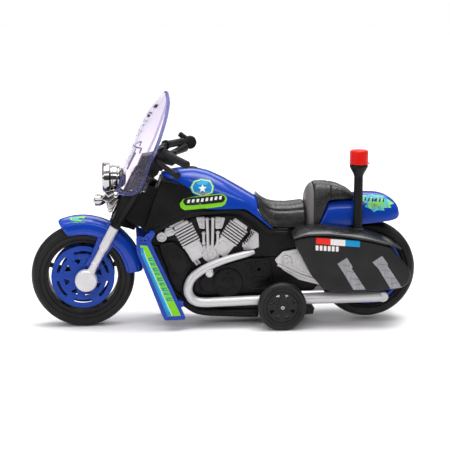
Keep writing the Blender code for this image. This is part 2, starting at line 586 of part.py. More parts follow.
node(rod((GA[0], -23.6, GA[1]), (GA[0], 23.6, GA[1]), 1.0, 20), "drive_axle", DA)
side = lathe([(1.25, -22.9), (3.0, -22.9), (3.2, -22.3), (8.4, -22.3), (9.0, -22.9), (12.2, -22.9),
              (13.2, -21.8), (13.2, -18.8), (12.2, -17.8), (9.6, -17.8), (9.4, -20.6), (3.0, -20.6), (3.0, -17.8),
              (1.25, -17.8)], 24, (GA[0], 0, GA[1]))
for i in range(8):
    a = math.radians(22.5 + 45 * i)
    c = (GA[0] + 6.0 * math.cos(a), GA[1] + 6.0 * math.sin(a))
    w = math.radians(9.5)
    hole = [(GA[0] + r * math.cos(b), GA[1] + r * math.sin(b)) for r, b in
            ((4.9, a - w * 0.7), (4.9, a + w * 0.7), (7.2, a + w), (7.2, a - w))]
    cut(side, prism(hole, -24, -19))
side_right = twin(side)
node(side, "side_wheel_left", DA)
node(side_right, "side_wheel_right", DA)

# ---------------------------------------------------------------- front wheel

tyre = lathe([(18.9, -5.4), (20.6, -6.1), (25.6, -6.4), (27.5, -4.8), (28.2, -1.4),
              (28.2, 1.4), (27.5, 4.8), (25.6, 6.4), (20.6, 6.1), (18.9, 5.4)], 32, FW)
spider = lathe([(1.85, -4.4), (4.2, -4.4), (4.2, 4.4), (1.85, 4.4)], 15, FW)
for i in range(5):
    a = math.radians(90 + 72 * i)
    c, s = math.cos(a), math.sin(a)
    pts = [(3.4, 1.5), (19.6, 1.1), (19.6, -1.1), (3.4, -1.5)]
    union(spider, prism([(FW[0] + r * c - w * s, FW[2] + r * s + w * c) for r, w in pts], -1.6, 1.6))
union(tyre, spider)
node(tyre, "front_tyre", FW)
disc = lathe([(1.85, -6.7), (17.1, -6.7), (17.1, -5.7), (6.0, -5.7), (6.0, -4.7), (1.85, -4.7)], 28, FW)
for i in range(6):
    a0, a1 = math.radians(60 * i + 9), math.radians(60 * i + 49)
    arc = [a0 + (a1 - a0) * k / 3 for k in range(4)]
    pts = [(12.9, a) for a in arc] + [(14.4, a) for a in reversed(arc)]
    cut(disc, prism([(FW[0] + r * math.cos(a), FW[2] + r * math.sin(a)) for r, a in pts], -8, -5.2))
for i in range(8):
    a = math.radians(45 * i + 15.8)
    w = math.radians(12.0)
    pts = [(7.3, a), (10.4, a + w), (10.4, a - w)]
    cut(disc, prism([(FW[0] + r * math.cos(b), FW[2] + r * math.sin(b)) for r, b in pts], -8, -5.2))
disc_right = twin(disc)
node(disc, "front_disc_left", FW)
node(disc_right, "front_disc_right", FW)

# ---------------------------------------------------------------- rear wheel

node(lathe([(19.6, -6.6), (22.4, -7.8), (24.6, -7.9), (26.2, -6.0), (27.0, -2.0), (27.0, 2.0),
            (26.2, 6.0), (24.6, 7.9), (22.4, 7.8), (19.6, 6.6)], 28, RW), "rear_tyre", RW)
rim = lathe([(1.75, -8.2), (4.4, -8.2), (4.6, -2.0), (17.2, -2.0), (17.4, -6.6), (19.2, -6.6), (19.2, 6.6),
             (17.4, 6.6), (17.2, 2.0), (4.6, 2.0), (4.4, 8.2), (1.75, 8.2)], 24, RW)
for i in range(5):
    a = math.radians(90 + 72 * i)
    cut(rim, rod((RW[0] + 11.8 * math.cos(a), -9, RW[2] + 11.8 * math.sin(a)),
                 (RW[0] + 11.8 * math.cos(a), 9, RW[2] + 11.8 * math.sin(a)), 3.6, 8))
node(rim, "rear_rim", RW)

# ---------------------------------------------------------------- fork, front fender, lamps

S_LOW = 33.4
crown = None
for sy in (-1, 1):
    y = FORK_HALF * sy
    sleeve = lathe([(0, S_LOW), (2.7, S_LOW), (3.0, S_LOW + 3), (3.8, S_LOW + 16), (3.9, S_LOW + 31), (3.2, S_LOW + 32.6),
                    (0, S_LOW + 32.6)], 14, (LEG0.x, y, LEG0.z), D)
    crown = sleeve if crown is None else (union(sleeve, crown))
    if sy == -1:
        lower = loft([[stem(s, o, w) for o, w in ((-9.6, -11.5), (-9.6, 11.5), (-5.4, 11.5), (1.0, 4.2), (3.6, 2.4),
                                                   (3.6, -2.4), (1.0, -4.2), (-5.4, -11.5))] for s in (-0.5, -4.0)])
        upper = loft([[stem(s, o, w) for o, w in ((-9.6, -11.5), (-9.6, 11.5), (-5.4, 11.5), (0.5, 4.0), (2.5, 1.8),
                                                   (2.5, -1.8), (0.5, -4.0), (-5.4, -11.5))] for s in (NECK + 0.4, NECK + 3.4)])
        crown = union(lower, crown)
        union(crown, rod(stem(-2), stem(NECK + 2), 2.3, 18))
        union(crown, upper)
node(crown, "fork_crown", STEER)
for sy, name in ((-1, "fork_leg_left"), (1, "fork_leg_right")):
    y = FORK_HALF * sy
    shaft = lathe([(0, 3.1), (1.9, 3.1), (1.95, 19.6), (2.5, 20.6), (2.6, S_LOW - 0.35), (0, S_LOW - 0.35)], 12,
                  (LEG0.x, y, LEG0.z), D)
    hub = lathe([(0, HUB_OUT), (5.2, HUB_OUT), (6.0, HUB_OUT - 1.0), (6.0, 9.2), (0, 9.2)], 20, (LEG0.x, 0, LEG0.z), (0, sy, 0), 0.037)
    node(union(shaft, hub), name, STEER)
node(rod((0, -8.9, 28.2), (0, 8.9, 28.2), 1.5, 20), "front_axle", STEER)

fend = []
for i in range(12):
    front = 1 - i / 11
    prof = []
    ri = 23.8 + (1.5 if i in (0, 11) else 0)
    for r, y in ((ri, -8.6), (28.8, -8.6), (31.2, -7.6), (32.6, -5.0), (33.1, 0), (32.6, 5.0), (31.2, 7.6), (28.8, 8.6),
                 (ri, 8.6), (ri, 7.4), (28.9, 7.4), (30.3, 6.0), (31.4, 3.0), (31.4, -3.0), (30.3, -6.0),
                 (28.9, -7.4), (ri, -7.4)):
        # the front edge leans forward towards the crown
        a = math.radians(5.0 + 103.5 * front + 4.6 * (r - 24.6) / 8.5 * front)
        prof.append((FW[0] + r * math.cos(a), y, FW[2] + r * math.sin(a)))
    fend.append(prof)
fender = loft(fend)
stay = []
for sy in (-1, 1):
    stay.append(prism([(8.8, 51.4), (4.4, 40.0), (1.2, 35.2), (6.6, 32.2), (9.6, 36.6), (17.4, 46.2), (14.0, 50.0)],
                      7.5 * sy, 8.55 * sy))
union(fender, stay[0])
union(fender, stay[1])
bridge = loft([[leg(s, w, o) for o, w in ((-3.0, -7.0), (-3.0, 7.0), (3.0, 7.0), (3.0, -7.0))] for s in (30.6, 33.6)])
bridge_cut = lathe([(0, -12), (29.2, -12), (29.2, 12), (0, 12)], 64, FW)
cut(bridge, bridge_cut)
union(fender, bridge)
node(fender, "front_fender", STEER)

HL = (13.6, 0.0, 81.9)
shell = lathe([(0, 10.6), (3.4, 10.3), (5.2, 8.4), (6.4, 4.6), (7.2, 1.0), (8.2, 0.6), (8.3, -0.9), (7.6, -1.5),
               (6.9, -0.9), (6.5, 0.6), (5.6, 4.6), (4.2, 8.0), (0, 9.6)], 18, HL, (1, 0, 0))
bracket = prism([(16.4, 75.6), (21.0, 76.6), (22.8, 74.0), (20.2, 70.0), (18.6, 67.4), (16.4, 63.4), (14.6, 62.4), (13.6, 66.0),
                 (12.6, 69.0), (10.0, 70.0), (13.0, 73.0)], -2.6, 2.6)
union(shell, bracket)
union(shell, rod((20.0, -6.8, 73.0), (20.0, 6.8, 73.0), 1.2, 6))
for sy in (-1, 1):
    union(shell, lathe([(0, 2.6), (1.6, 2.0), (2.2, 0.4), (2.2, -1.4), (0, -1.4)], 10, (18.9, 6.6 * sy, 73.0), (1, 0, 0)))
union(shell, lathe([(0, 4.6), (2.2, 3.6), (3.0, 1.6), (3.1, -1.4), (2.5, -1.4), (2.4, -0.6), (0, -0.6)], 14, (8.6, 0, 69.4),
                   (1, 0, 0)))
node(shell, "headlight_shell", STEER)
node(lathe([(0, -1.9), (3.6, -1.6), (6.4, -0.75), (6.4, 0.0), (3.6, -0.8), (0, -1.1)], 18, HL, (1, 0, 0)), "headlight_lens", STEER)
node(lathe([(0, -2.4), (1.4, -2.2), (2.15, -1.4), (2.15, -0.9), (0, -0.9)], 12, (8.6, 0, 69.4), (1, 0, 0)), "spot_lens", STEER)

# ---------------------------------------------------------------- windshield

XC = [(74.6, 16.9), (86.0, 21.9), (96.6, 26.6), (107.4, 31.0), (116.6, 36.0), (121.9, 40.2), (126.1, 44.0), (128.3, 45.6)]
XE = [(74.6, 29.4), (81.0, 32.4), (94.0, 37.0), (99.0, 39.4), (109.6, 43.4), (119.0, 46.2), (123.7, 47.0), (128.3, 46.2)]
WH = [(74.6, 20.6), (80.0, 22.0), (88.0, 23.6), (96.0, 24.0), (104.0, 22.9), (110.0, 20.6), (116.0, 16.6), (121.0, 11.6),
      (125.0, 6.6), (127.4, 2.6), (128.3, 0.8)]
zs = [74.8, 80.0, 86.0, 92.0, 98.0, 104.0, 110.0, 115.0, 119.0, 122.5, 125.5, 127.4, 128.3]
us = [-1, -0.8, -0.55, -0.28, 0, 0.28, 0.55, 0.8, 1]


def shield(z, u, back):
    xc, xe, w = value(XC, z), value(XE, z), value(WH, z)
    slope = (value(XC, min(z + 2, 128.3)) - value(XC, max(z - 2, 74.6))) / 4.0
    x = xc + (xe - xc) * abs(u) ** 2.8
    # square to the sheet, roughly
    gy = -2.8 * (xe - xc) * math.copysign(abs(u) ** 1.8, u) / max(w, 3.0)
    nrm = Vector((1.0, gy * 0.8, -slope)).normalized() * (SCREEN_T * back)
    return (x + nrm.x, u * w + nrm.y, z + nrm.z)


rows = []
for z in zs:
    rows.append([shield(z, u, 0) for u in us] + [shield(z, u, 1) for u in reversed(us)])
glass = loft(rows)
cut(glass, prism([(5.0, 60.0), (40.0, 60.0), (40.0, 84.0), (36.0, 90.6), (5.0, 90.6)], -9.3, 9.3))
for sy in (-1, 1):
    union(glass, prism([(24.6, 77.2), (34.2, 76.2), (37.8, 83.0), (37.8, 84.8), (27.0, 84.8)], 15.8 * sy, 17.0 * sy))
node(glass, "windshield", STEER)

# ---------------------------------------------------------------- handlebar

riser = prism([(30.1, 87.7), (35.9, 84.6), (38.9, 86.6), (43.6, 85.6), (46.0, 90.6), (43.6, 97.2), (40.0, 98.2),
               (37.0, 96.9), (33.4, 95.2)], -8.4, 8.4)
union(riser, prism([(44.6, 96.6), (49.4, 97.2), (52.2, 93.8), (51.4, 89.8), (49.0, 88.2), (44.8, 89.4)], -5.0, 5.0))
BAR = [(42.0, 0, 96.2), (42.8, 9, 96.5), (45.2, 16, 96.3), (50.2, 26.2, 95.0)]
union(riser, tube(spline([*BAR, (53.4, 32.6, 94.2)], 1), [2.0, 2.0, 2.1, 2.1, 2.0], 10))
union(riser, tube(spline([(x, -y - 0.4 * (y == 0), z) for x, y, z in [*BAR, (55.4, 37.4, 93.5)]], 1), [2.0, 2.0, 2.1, 2.1, 2.0], 10))
for sy in (-1, 1):
    union(riser, tube([(41.4, 7.0 * sy, 91.4), (43.3, 14.0 * sy, 90.2), (46.2, 21.0 * sy, 89.0), (49.2, 27.6 * sy, 87.6),
                       (51.0, 31.8 * sy, 86.8)], [1.7, 1.6, 1.6, 1.8, 1.3], 8))
    union(riser, rod((44.0, 11.8 * sy, 95.0), (41.2, 11.8 * sy, 99.6), 2.2, 10))
node(riser, "handlebar", STEER)
mirror = lathe([(0, 0), (3.6, 0.0), (3.9, 0.5), (3.8, 1.6), (0, 2.4)], 18, (59.2, 36.9, 96.0), (0.3, -0.93, 0.2))
union(mirror, rod((59.0, 36.0, 95.8), (55.6, 34.9, 95.2), 0.9, 10))
union(mirror, rod((58.6, 36.6, 97.6), (54.4, 36.6, 100.0), 1.6, 10))
node(mirror, "mirror_right", STEER)

if __name__ == "__main__":
    print(len(NODES), "nodes")
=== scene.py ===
import bpy
import bmesh
import json
import math
import random
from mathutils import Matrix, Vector, noise
from mathutils.bvhtree import BVHTree

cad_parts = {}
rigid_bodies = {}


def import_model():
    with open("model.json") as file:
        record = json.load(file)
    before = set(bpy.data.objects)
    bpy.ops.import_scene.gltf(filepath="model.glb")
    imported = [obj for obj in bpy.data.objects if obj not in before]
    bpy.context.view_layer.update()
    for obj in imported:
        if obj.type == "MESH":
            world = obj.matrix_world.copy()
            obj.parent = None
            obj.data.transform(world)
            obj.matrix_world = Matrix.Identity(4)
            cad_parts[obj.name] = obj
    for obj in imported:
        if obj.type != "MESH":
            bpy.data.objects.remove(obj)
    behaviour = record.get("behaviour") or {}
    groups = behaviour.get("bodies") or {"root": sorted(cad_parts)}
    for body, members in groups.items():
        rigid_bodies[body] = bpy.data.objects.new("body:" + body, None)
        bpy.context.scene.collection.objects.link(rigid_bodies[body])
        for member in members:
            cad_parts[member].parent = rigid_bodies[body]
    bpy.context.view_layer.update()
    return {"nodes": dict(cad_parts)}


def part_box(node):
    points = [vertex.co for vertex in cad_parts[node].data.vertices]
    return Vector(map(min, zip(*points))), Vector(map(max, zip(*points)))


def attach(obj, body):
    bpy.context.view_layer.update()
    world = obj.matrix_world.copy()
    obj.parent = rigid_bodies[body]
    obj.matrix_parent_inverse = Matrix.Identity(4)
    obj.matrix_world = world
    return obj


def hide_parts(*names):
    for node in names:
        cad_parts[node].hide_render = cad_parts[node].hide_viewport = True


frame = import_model()
random.seed(4)

# Shapes below are drawn in millimetres with x = 0 under the front axle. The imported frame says
# where that axle is, so the offset comes from the front wheel's own box.
_lo, _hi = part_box("front_tyre")
XO = 500.0 * (_lo[0] + _hi[0])
SCENE = bpy.context.scene


# ================================================================ mesh helpers

def link(me):
    ob = bpy.data.objects.new("o", me)
    SCENE.collection.objects.link(ob)
    return ob


def new(verts, faces, weld=1e-4):
    me = bpy.data.meshes.new("m")
    me.from_pydata([tuple(v) for v in verts], [], faces)
    bm = bmesh.new()
    bm.from_mesh(me)
    if weld:
        bmesh.ops.remove_doubles(bm, verts=bm.verts, dist=weld)
    bmesh.ops.recalc_face_normals(bm, faces=bm.faces)
    bm.to_mesh(me)
    bm.free()
    return link(me)


def evaluated(ob):
    bpy.context.view_layer.update()
    dg = bpy.context.evaluated_depsgraph_get()
    return bpy.data.meshes.new_from_object(ob.evaluated_get(dg))


def combine(a, b, op):
    mod = a.modifiers.new("b", "BOOLEAN")
    mod.object = b
    mod.operation = op
    mod.solver = "EXACT"
    me = evaluated(a)
    a.modifiers.clear()
    a.data = me
    bpy.data.objects.remove(b, do_unlink=True)
    return a


def union(a, *bs):
    for b in bs:
        combine(a, b, "UNION")
    return a


def cut(a, *bs):
    for b in bs:
        combine(a, b, "DIFFERENCE")
    return a


def joined(*obs):
    """One object holding every shell of the given objects."""
    bm = bmesh.new()
    for ob in obs:
        bm.from_mesh(ob.data)
    me = bpy.data.meshes.new("m")
    bm.to_mesh(me)
    bm.free()
    for ob in obs:
        bpy.data.objects.remove(ob, do_unlink=True)
    return link(me)


def twin(ob):
    me = ob.data.copy()
    bm = bmesh.new()
    bm.from_mesh(me)
    for v in bm.verts:
        v.co.y = -v.co.y
    bmesh.ops.reverse_faces(bm, faces=bm.faces)
    bm.to_mesh(me)
    bm.free()
    return link(me)


def softened(ob, width=0.2, segments=2, angle=38):
    """Rounds the edges of a solid made by cutting and joining."""
    mod = ob.modifiers.new("b", "BEVEL")
    mod.width = width
    mod.segments = segments
    mod.limit_method = "ANGLE"
    mod.angle_limit = math.radians(angle)
    mod.use_clamp_overlap = True
    mod.miter_outer = "MITER_ARC"
    me = evaluated(ob)
    ob.modifiers.clear()
    ob.data = me
    return ob


def plate(outline, y0, y1, b=0.3, holes=(), res=2):
    """A flat plate between y0 and y1 with rounded edges, drawn in x and z, with holes."""
    cu = bpy.data.curves.new("c", "CURVE")
    cu.dimensions = "2D"
    cu.fill_mode = "BOTH"
    for loop in [outline, *holes]:
        sp = cu.splines.new("POLY")
        sp.points.add(len(loop) - 1)
        for p, (x, z) in zip(sp.points, loop):
            p.co = (x, z, 0, 1)
        sp.use_cyclic_u = True
    b = min(b, (y1 - y0) / 2 - 0.001)
    cu.extrude = (y1 - y0) / 2 - b
    cu.bevel_depth = b
    cu.bevel_resolution = res
    cu.offset = -b
    ob = bpy.data.objects.new("c", cu)
    SCENE.collection.objects.link(ob)
    me = evaluated(ob)
    bpy.data.objects.remove(ob, do_unlink=True)
    mid = (y0 + y1) / 2
    bm = bmesh.new()
    bm.from_mesh(me)
    for v in bm.verts:
        x, z, h = v.co
        v.co = (x, mid + h, z)
    bmesh.ops.remove_doubles(bm, verts=bm.verts, dist=1e-4)
    bmesh.ops.recalc_face_normals(bm, faces=bm.faces)
    me = bpy.data.meshes.new("m")
    bm.to_mesh(me)
    bm.free()
    return link(me)


def prism(outline, y0, y1):
    n = len(outline)
    verts = [(x, y0, z) for x, z in outline] + [(x, y1, z) for x, z in outline]
    faces = [(i, (i + 1) % n, (i + 1) % n + n, i + n) for i in range(n)]
    faces += [tuple(range(n - 1, -1, -1)), tuple(range(n, 2 * n))]
    return new(verts, faces)


def box(x0, x1, y0, y1, z0, z1):
    return prism([(x0, z0), (x1, z0), (x1, z1), (x0, z1)], y0, y1)


def loft(rings, caps=True):
    n = len(rings[0])
    verts = [p for ring in rings for p in ring]
    faces = []
    for k in range(len(rings) - 1):
        for i in range(n):
            j = (i + 1) % n
            faces.append((k * n + i, k * n + j, (k + 1) * n + j, (k + 1) * n + i))
    if caps:
        faces.append(tuple(range(n - 1, -1, -1)))
        last = (len(rings) - 1) * n
        faces.append(tuple(range(last, last + n)))
    return new(verts, faces)


def frame_of(direction):
    d = Vector(direction).normalized()
    up = Vector((0, 1, 0)) if abs(d.y) < 0.9 else Vector((0, 0, 1))
    u = d.cross(up).normalized()
    return u, u.cross(d).normalized()


def lathe(profile, n=64, at=(0, 0, 0), axis=(0, 1, 0), turn=0.0):
    d = Vector(axis).normalized()
    u, v = frame_of(d)
    at = Vector(at)
    poles = profile[0][0] < 1e-6 and profile[-1][0] < 1e-6
    body = profile[1:-1] if poles else profile
    verts = []
    for r, h in body:
        for k in range(n):
            a = turn + 2 * math.pi * k / n
            verts.append(at + d * h + (u * math.cos(a) + v * math.sin(a)) * r)
    m = len(body)
    faces = []
    for i in range(m - 1 if poles else m):
        j = (i + 1) % m
        for k in range(n):
            q = (k + 1) % n
            faces.append((i * n + k, i * n + q, j * n + q, j * n + k))
    if poles:
        a, b = len(verts), len(verts) + 1
        verts += [at + d * profile[0][1], at + d * profile[-1][1]]
        for k in range(n):
            q = (k + 1) % n
            faces.append((a, q, k))
            faces.append((b, (m - 1) * n + k, (m - 1) * n + q))
    return new(verts, faces)


def rounded_profile(profile, r=0.25, n=3):
    """Rounds the corners of an open (radius, height) profile, keeping its two ends."""
    return [profile[0]] + fillet(profile, r, n, closed=False)[1:-1] + [profile[-1]]


def turned(profile, n=64, at=(0, 0, 0), axis=(0, 1, 0), r=0.25, turn=0.0):
    poles = profile[0][0] < 1e-6 and profile[-1][0] < 1e-6
    prof = fillet(profile, r, 3, closed=not poles)
    return lathe(prof, n, at, axis, turn)


def rod(p, q, r, n=32, r2=None, b=0.0):
    p, q = Vector(p), Vector(q)
    d = q - p
    r2 = r if r2 is None else r2
    prof = [(0, 0), (r, 0), (r2, d.length), (0, d.length)]
    if b:
        prof = fillet(prof, b, 3, closed=False)
    return lathe(prof, n, p, d)


def fillet(outline, r, n=4, closed=True):
    """Rounds the corners of a polyline. r is a number or one number per corner."""
    pts = [Vector((p[0], p[1])) for p in outline]
    m = len(pts)
    out = []
    for i, p in enumerate(pts):
        ri = r[i] if isinstance(r, (list, tuple)) else r
        if (not closed and i in (0, m - 1)) or ri <= 0:
            out.append((p.x, p.y))
            continue
        a, c = pts[i - 1], pts[(i + 1) % m]
        da, dc = a - p, c - p
        la, lc = da.length, dc.length
        if la < 1e-6 or lc < 1e-6:
            continue
        da.normalize()
        dc.normalize()
        cosang = max(-1.0, min(1.0, da.dot(dc)))
        ang = math.acos(cosang)
        if ang > math.radians(178):
            out.append((p.x, p.y))
            continue
        t = min(ri / max(math.tan(ang / 2), 1e-3), la * 0.49, lc * 0.49)
        s, e = p + da * t, p + dc * t
        for k in range(n + 1):
            q = k / n
            w = (s * (1 - q) + p * q) * (1 - q) + (p * (1 - q) + e * q) * q
            out.append((w.x, w.y))
    return out


def curve2(points, per=6, closed=False):
    """Catmull-Rom through 2-D points."""
    pts = [Vector((p[0], p[1])) for p in points]
    m = len(pts)
    out = []
    for i in range(m if closed else m - 1):
        if closed:
            p0, p1, p2, p3 = pts[i - 1], pts[i], pts[(i + 1) % m], pts[(i + 2) % m]
        else:
            p0, p1, p2, p3 = pts[max(i - 1, 0)], pts[i], pts[i + 1], pts[min(i + 2, m - 1)]
        for k in range(per):
            t = k / per
            w = 0.5 * ((2 * p1) + (p2 - p0) * t + (2 * p0 - 5 * p1 + 4 * p2 - p3) * t * t
                       + (3 * p1 - p0 - 3 * p2 + p3) * t * t * t)
            out.append((w.x, w.y))
    if not closed:
        out.append((pts[-1].x, pts[-1].y))
    return out


def spline(points, per=6):
    pts = [Vector(p) for p in points]
    out = []
    for i in range(len(pts) - 1):
        p0, p1, p2 = pts[max(i - 1, 0)], pts[i], pts[i + 1]
        p3 = pts[min(i + 2, len(pts) - 1)]
        for k in range(per):
            t = k / per
            out.append(0.5 * ((2 * p1) + (p2 - p0) * t + (2 * p0 - 5 * p1 + 4 * p2 - p3) * t * t
                              + (3 * p1 - p0 - 3 * p2 + p3) * t * t * t))
    out.append(pts[-1])
    return out


def value(table, x):
    if x <= table[0][0]:
        return table[0][1]
    for (x0, v0), (x1, v1) in zip(table, table[1:]):
        if x <= x1:
            return v0 + (v1 - v0) * (x - x0) / (x1 - x0) if x1 > x0 else v1
    return table[-1][1]


def smooth(table, x):
    """Monotone cubic reading of a table, so that a loft has no facets."""
    n = len(table)
    if x <= table[0][0]:
        return table[0][1]
    if x >= table[-1][0]:
        return table[-1][1]
    s = [(table[i + 1][1] - table[i][1]) / max(table[i + 1][0] - table[i][0], 1e-9) for i in range(n - 1)]

    def slope(i):
        if i == 0:
            return s[0]
        if i == n - 1:
            return s[-1]
        if s[i - 1] * s[i] <= 0:
            return 0.0
        h0, h1 = table[i][0] - table[i - 1][0], table[i + 1][0] - table[i][0]
        w0, w1 = 2 * h1 + h0, h1 + 2 * h0
        return (w0 + w1) / (w0 / s[i - 1] + w1 / s[i])
    for i in range(n - 1):
        if x <= table[i + 1][0]:
            h = table[i + 1][0] - table[i][0]
            t = (x - table[i][0]) / h
            return (table[i][1] * (1 + 2 * t) * (1 - t) ** 2 + slope(i) * h * t * (1 - t) ** 2
                    + table[i + 1][1] * t * t * (3 - 2 * t) + slope(i + 1) * h * t * t * (t - 1))
    return table[-1][1]


def tube(path, radii, n=24, dome=True):
    """A round bar along a path, with rounded ends."""
    path = [Vector(p) for p in path]
    rings = []
    side = None
    m = len(path)
    for i, p in enumerate(path):
        a, b = path[max(i - 1, 0)], path[min(i + 1, m - 1)]
        t = (b - a).normalized()
        if side is None:
            side, _ = frame_of(t)
        side = (side - t * side.dot(t)).normalized()
        other = t.cross(side)
        ring = lambda c, r: [c + (side * math.cos(2 * math.pi * k / n) + other * math.sin(2 * math.pi * k / n)) * r
                             for k in range(n)]
        r = radii[i] if isinstance(radii, (list, tuple)) else radii
        if dome and i == 0:
            rings = [ring(p + t * (0.30 * r * (1 - math.cos(a))), r * (0.70 + 0.30 * math.sin(a))) for a in (0.0, 0.5, 1.0, 1.57)]
            continue
        if dome and i == m - 1:
            rings += [ring(p - t * (0.30 * r * (1 - math.cos(a))), r * (0.70 + 0.30 * math.sin(a))) for a in (1.57, 1.0, 0.5, 0.0)]
            continue
        rings.append(ring(p, r))
    return loft(rings)


def arch(x, low, top, half, n=41, power=2.6):
    ring = []
    for k in range(n):
        a = math.pi * k / (n - 1)
        c, s = math.cos(a), math.sin(a)
        ring.append((x, -half * math.copysign(abs(c) ** (2 / power), c), low + (top - low) * (abs(s) ** (2 / power))))
    return ring


def ramp(a, b, n):
    return [a + (b - a) * k / (n - 1) for k in range(n)]


def shaped(ob, sharp=38):
    """Smooth shading with sharp edges kept, and face-weighted normals."""
    ob.data.shade_smooth()
    ob.data.set_sharp_from_angle(angle=math.radians(sharp))
    mod = ob.modifiers.new("normals", "WEIGHTED_NORMAL")
    mod.keep_sharp = True
    mod.weight = 80
    return ob


TREES = {}


def piece(ob, name, body, mat, replaces=(), sharp=38, tree=False):
    """Names a piece, puts it in metres and hangs it on its CAD body."""
    if tree:
        bm = bmesh.new()
        bm.from_mesh(ob.data)
        TREES[name] = BVHTree.FromBMesh(bm)
        bm.free()
    for v in ob.data.vertices:
        v.co = Vector((v.co.x + XO, v.co.y, v.co.z)) * 0.001
    ob.name = name
    ob.data.name = name
    ob.data.materials.clear()
    ob.data.materials.append(mat)
    shaped(ob, sharp)
    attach(ob, body)
    if replaces:
        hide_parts(*replaces)
    return ob


# ================================================================ materials

def nodes_of(name):
    m = bpy.data.materials.new(name)
    m.use_nodes = True
    nt = m.node_tree
    bsdf = nt.nodes["Principled BSDF"]
    return m, nt, bsdf


def plastic(name, rgb, rough=0.35, metallic=0.0, var=0.07, vscale=90.0, rvar=0.07, rscale=420.0, grain=2600.0, bump=0.08,
            depth=0.00004, coat=0.0, coat_rough=0.08, spec=0.5, flake=0.0, scuff=0.0, speck=0.0, cells=0.0, cell_scale=1300.0,
            streak=None):
    """Moulded plastic: cloudy colour, uneven gloss, a fine skin, and light handling marks."""
    m, nt, b = nodes_of(name)
    N, L = nt.nodes.new, nt.links.new
    b.inputs["Metallic"].default_value = metallic
    b.inputs["Specular IOR Level"].default_value = spec
    b.inputs["Coat Weight"].default_value = coat
    b.inputs["Coat Roughness"].default_value = coat_rough
    tc = N("ShaderNodeTexCoord")
    src = tc.outputs["Object"]
    if streak:
        mp = N("ShaderNodeMapping")
        mp.inputs["Scale"].default_value = streak
        L(src, mp.inputs["Vector"])
        streaked = mp.outputs["Vector"]
    else:
        streaked = src
    big = N("ShaderNodeTexNoise")
    big.inputs["Scale"].default_value = vscale
    big.inputs["Detail"].default_value = 4
    L(streaked, big.inputs["Vector"])
    mr = N("ShaderNodeMapRange")
    mr.inputs["From Min"].default_value = 0.32
    mr.inputs["From Max"].default_value = 0.68
    L(big.outputs["Fac"], mr.inputs["Value"])
    mix = N("ShaderNodeMix")
    mix.data_type = "RGBA"
    lo = [c * (1 - var) for c in rgb]
    hi = [min(1.0, c * (1 + var) + 0.004 * (var > 0.05)) for c in rgb]
    mix.inputs[6].default_value = (*lo, 1)
    mix.inputs[7].default_value = (*hi, 1)
    L(mr.outputs["Result"], mix.inputs[0])
    colour = mix.outputs[2]
    mid = N("ShaderNodeTexNoise")
    mid.inputs["Scale"].default_value = rscale
    mid.inputs["Detail"].default_value = 5
    mid.inputs["Roughness"].default_value = 0.6
    L(streaked, mid.inputs["Vector"])
    rr = N("ShaderNodeMapRange")
    rr.inputs["From Min"].default_value = 0.3
    rr.inputs["From Max"].default_value = 0.7
    rr.inputs["To Min"].default_value = max(0.02, rough - rvar)
    rr.inputs["To Max"].default_value = min(1.0, rough + rvar)
    L(mid.outputs["Fac"], rr.inputs["Value"])
    rough_out = rr.outputs["Result"]
    if flake or speck:
        fl = N("ShaderNodeTexVoronoi")
        fl.inputs["Scale"].default_value = 5200.0 if flake else 900.0
        L(src, fl.inputs["Vector"])
        sep = N("ShaderNodeSeparateColor")
        L(fl.outputs["Color"], sep.inputs["Color"])
        fr = N("ShaderNodeMapRange")
        fr.inputs["From Min"].default_value = 0.0 if flake else 0.93
        fr.inputs["From Max"].default_value = 1.0
        fr.inputs["To Min"].default_value = -(flake) if flake else 0.0
        fr.inputs["To Max"].default_value = flake or speck
        L(sep.outputs[0], fr.inputs["Value"])
        add = N("ShaderNodeMix")
        add.data_type = "RGBA"
        add.blend_type = "ADD"
        add.inputs[0].default_value = 1.0
        L(colour, add.inputs[6])
        L(fr.outputs["Result"], add.inputs[7])
        colour = add.outputs[2]
    if scuff:
        st = N("ShaderNodeMapping")
        st.inputs["Scale"].default_value = (160.0, 900.0, 1500.0)
        st.inputs["Rotation"].default_value = (0.3, 0.5, 0.2)
        L(src, st.inputs["Vector"])
        sc = N("ShaderNodeTexNoise")
        sc.inputs["Scale"].default_value = 1.0
        sc.inputs["Detail"].default_value = 3
        L(st.outputs["Vector"], sc.inputs["Vector"])
        cr = N("ShaderNodeMapRange")
        cr.inputs["From Min"].default_value = 0.66
        cr.inputs["From Max"].default_value = 0.74
        L(sc.outputs["Fac"], cr.inputs["Value"])
        sm = N("ShaderNodeMath")
        sm.operation = "MULTIPLY_ADD"
        sm.inputs[1].default_value = scuff
        L(cr.outputs["Result"], sm.inputs[0])
        L(rough_out, sm.inputs[2])
        rough_out = sm.outputs[0]
    L(colour, b.inputs["Base Color"])
    L(rough_out, b.inputs["Roughness"])
    fine = N("ShaderNodeTexNoise")
    fine.inputs["Scale"].default_value = grain
    fine.inputs["Detail"].default_value = 3
    L(src, fine.inputs["Vector"])
    bp = N("ShaderNodeBump")
    bp.inputs["Strength"].default_value = bump
    bp.inputs["Distance"].default_value = depth
    L(fine.outputs["Fac"], bp.inputs["Height"])
    normal = bp.outputs["Normal"]
    if cells:
        vo = N("ShaderNodeTexVoronoi")
        vo.feature = "SMOOTH_F1"
        vo.inputs["Scale"].default_value = cell_scale
        vo.inputs["Smoothness"].default_value = 0.45
        L(src, vo.inputs["Vector"])
        b2 = N("ShaderNodeBump")
        b2.inputs["Strength"].default_value = cells
        b2.inputs["Distance"].default_value = 0.00022
        b2.invert = True
        L(vo.outputs["Distance"], b2.inputs["Height"])
        L(normal, b2.inputs["Normal"])
        normal = b2.outputs["Normal"]
    L(normal, b.inputs["Normal"])
    return m


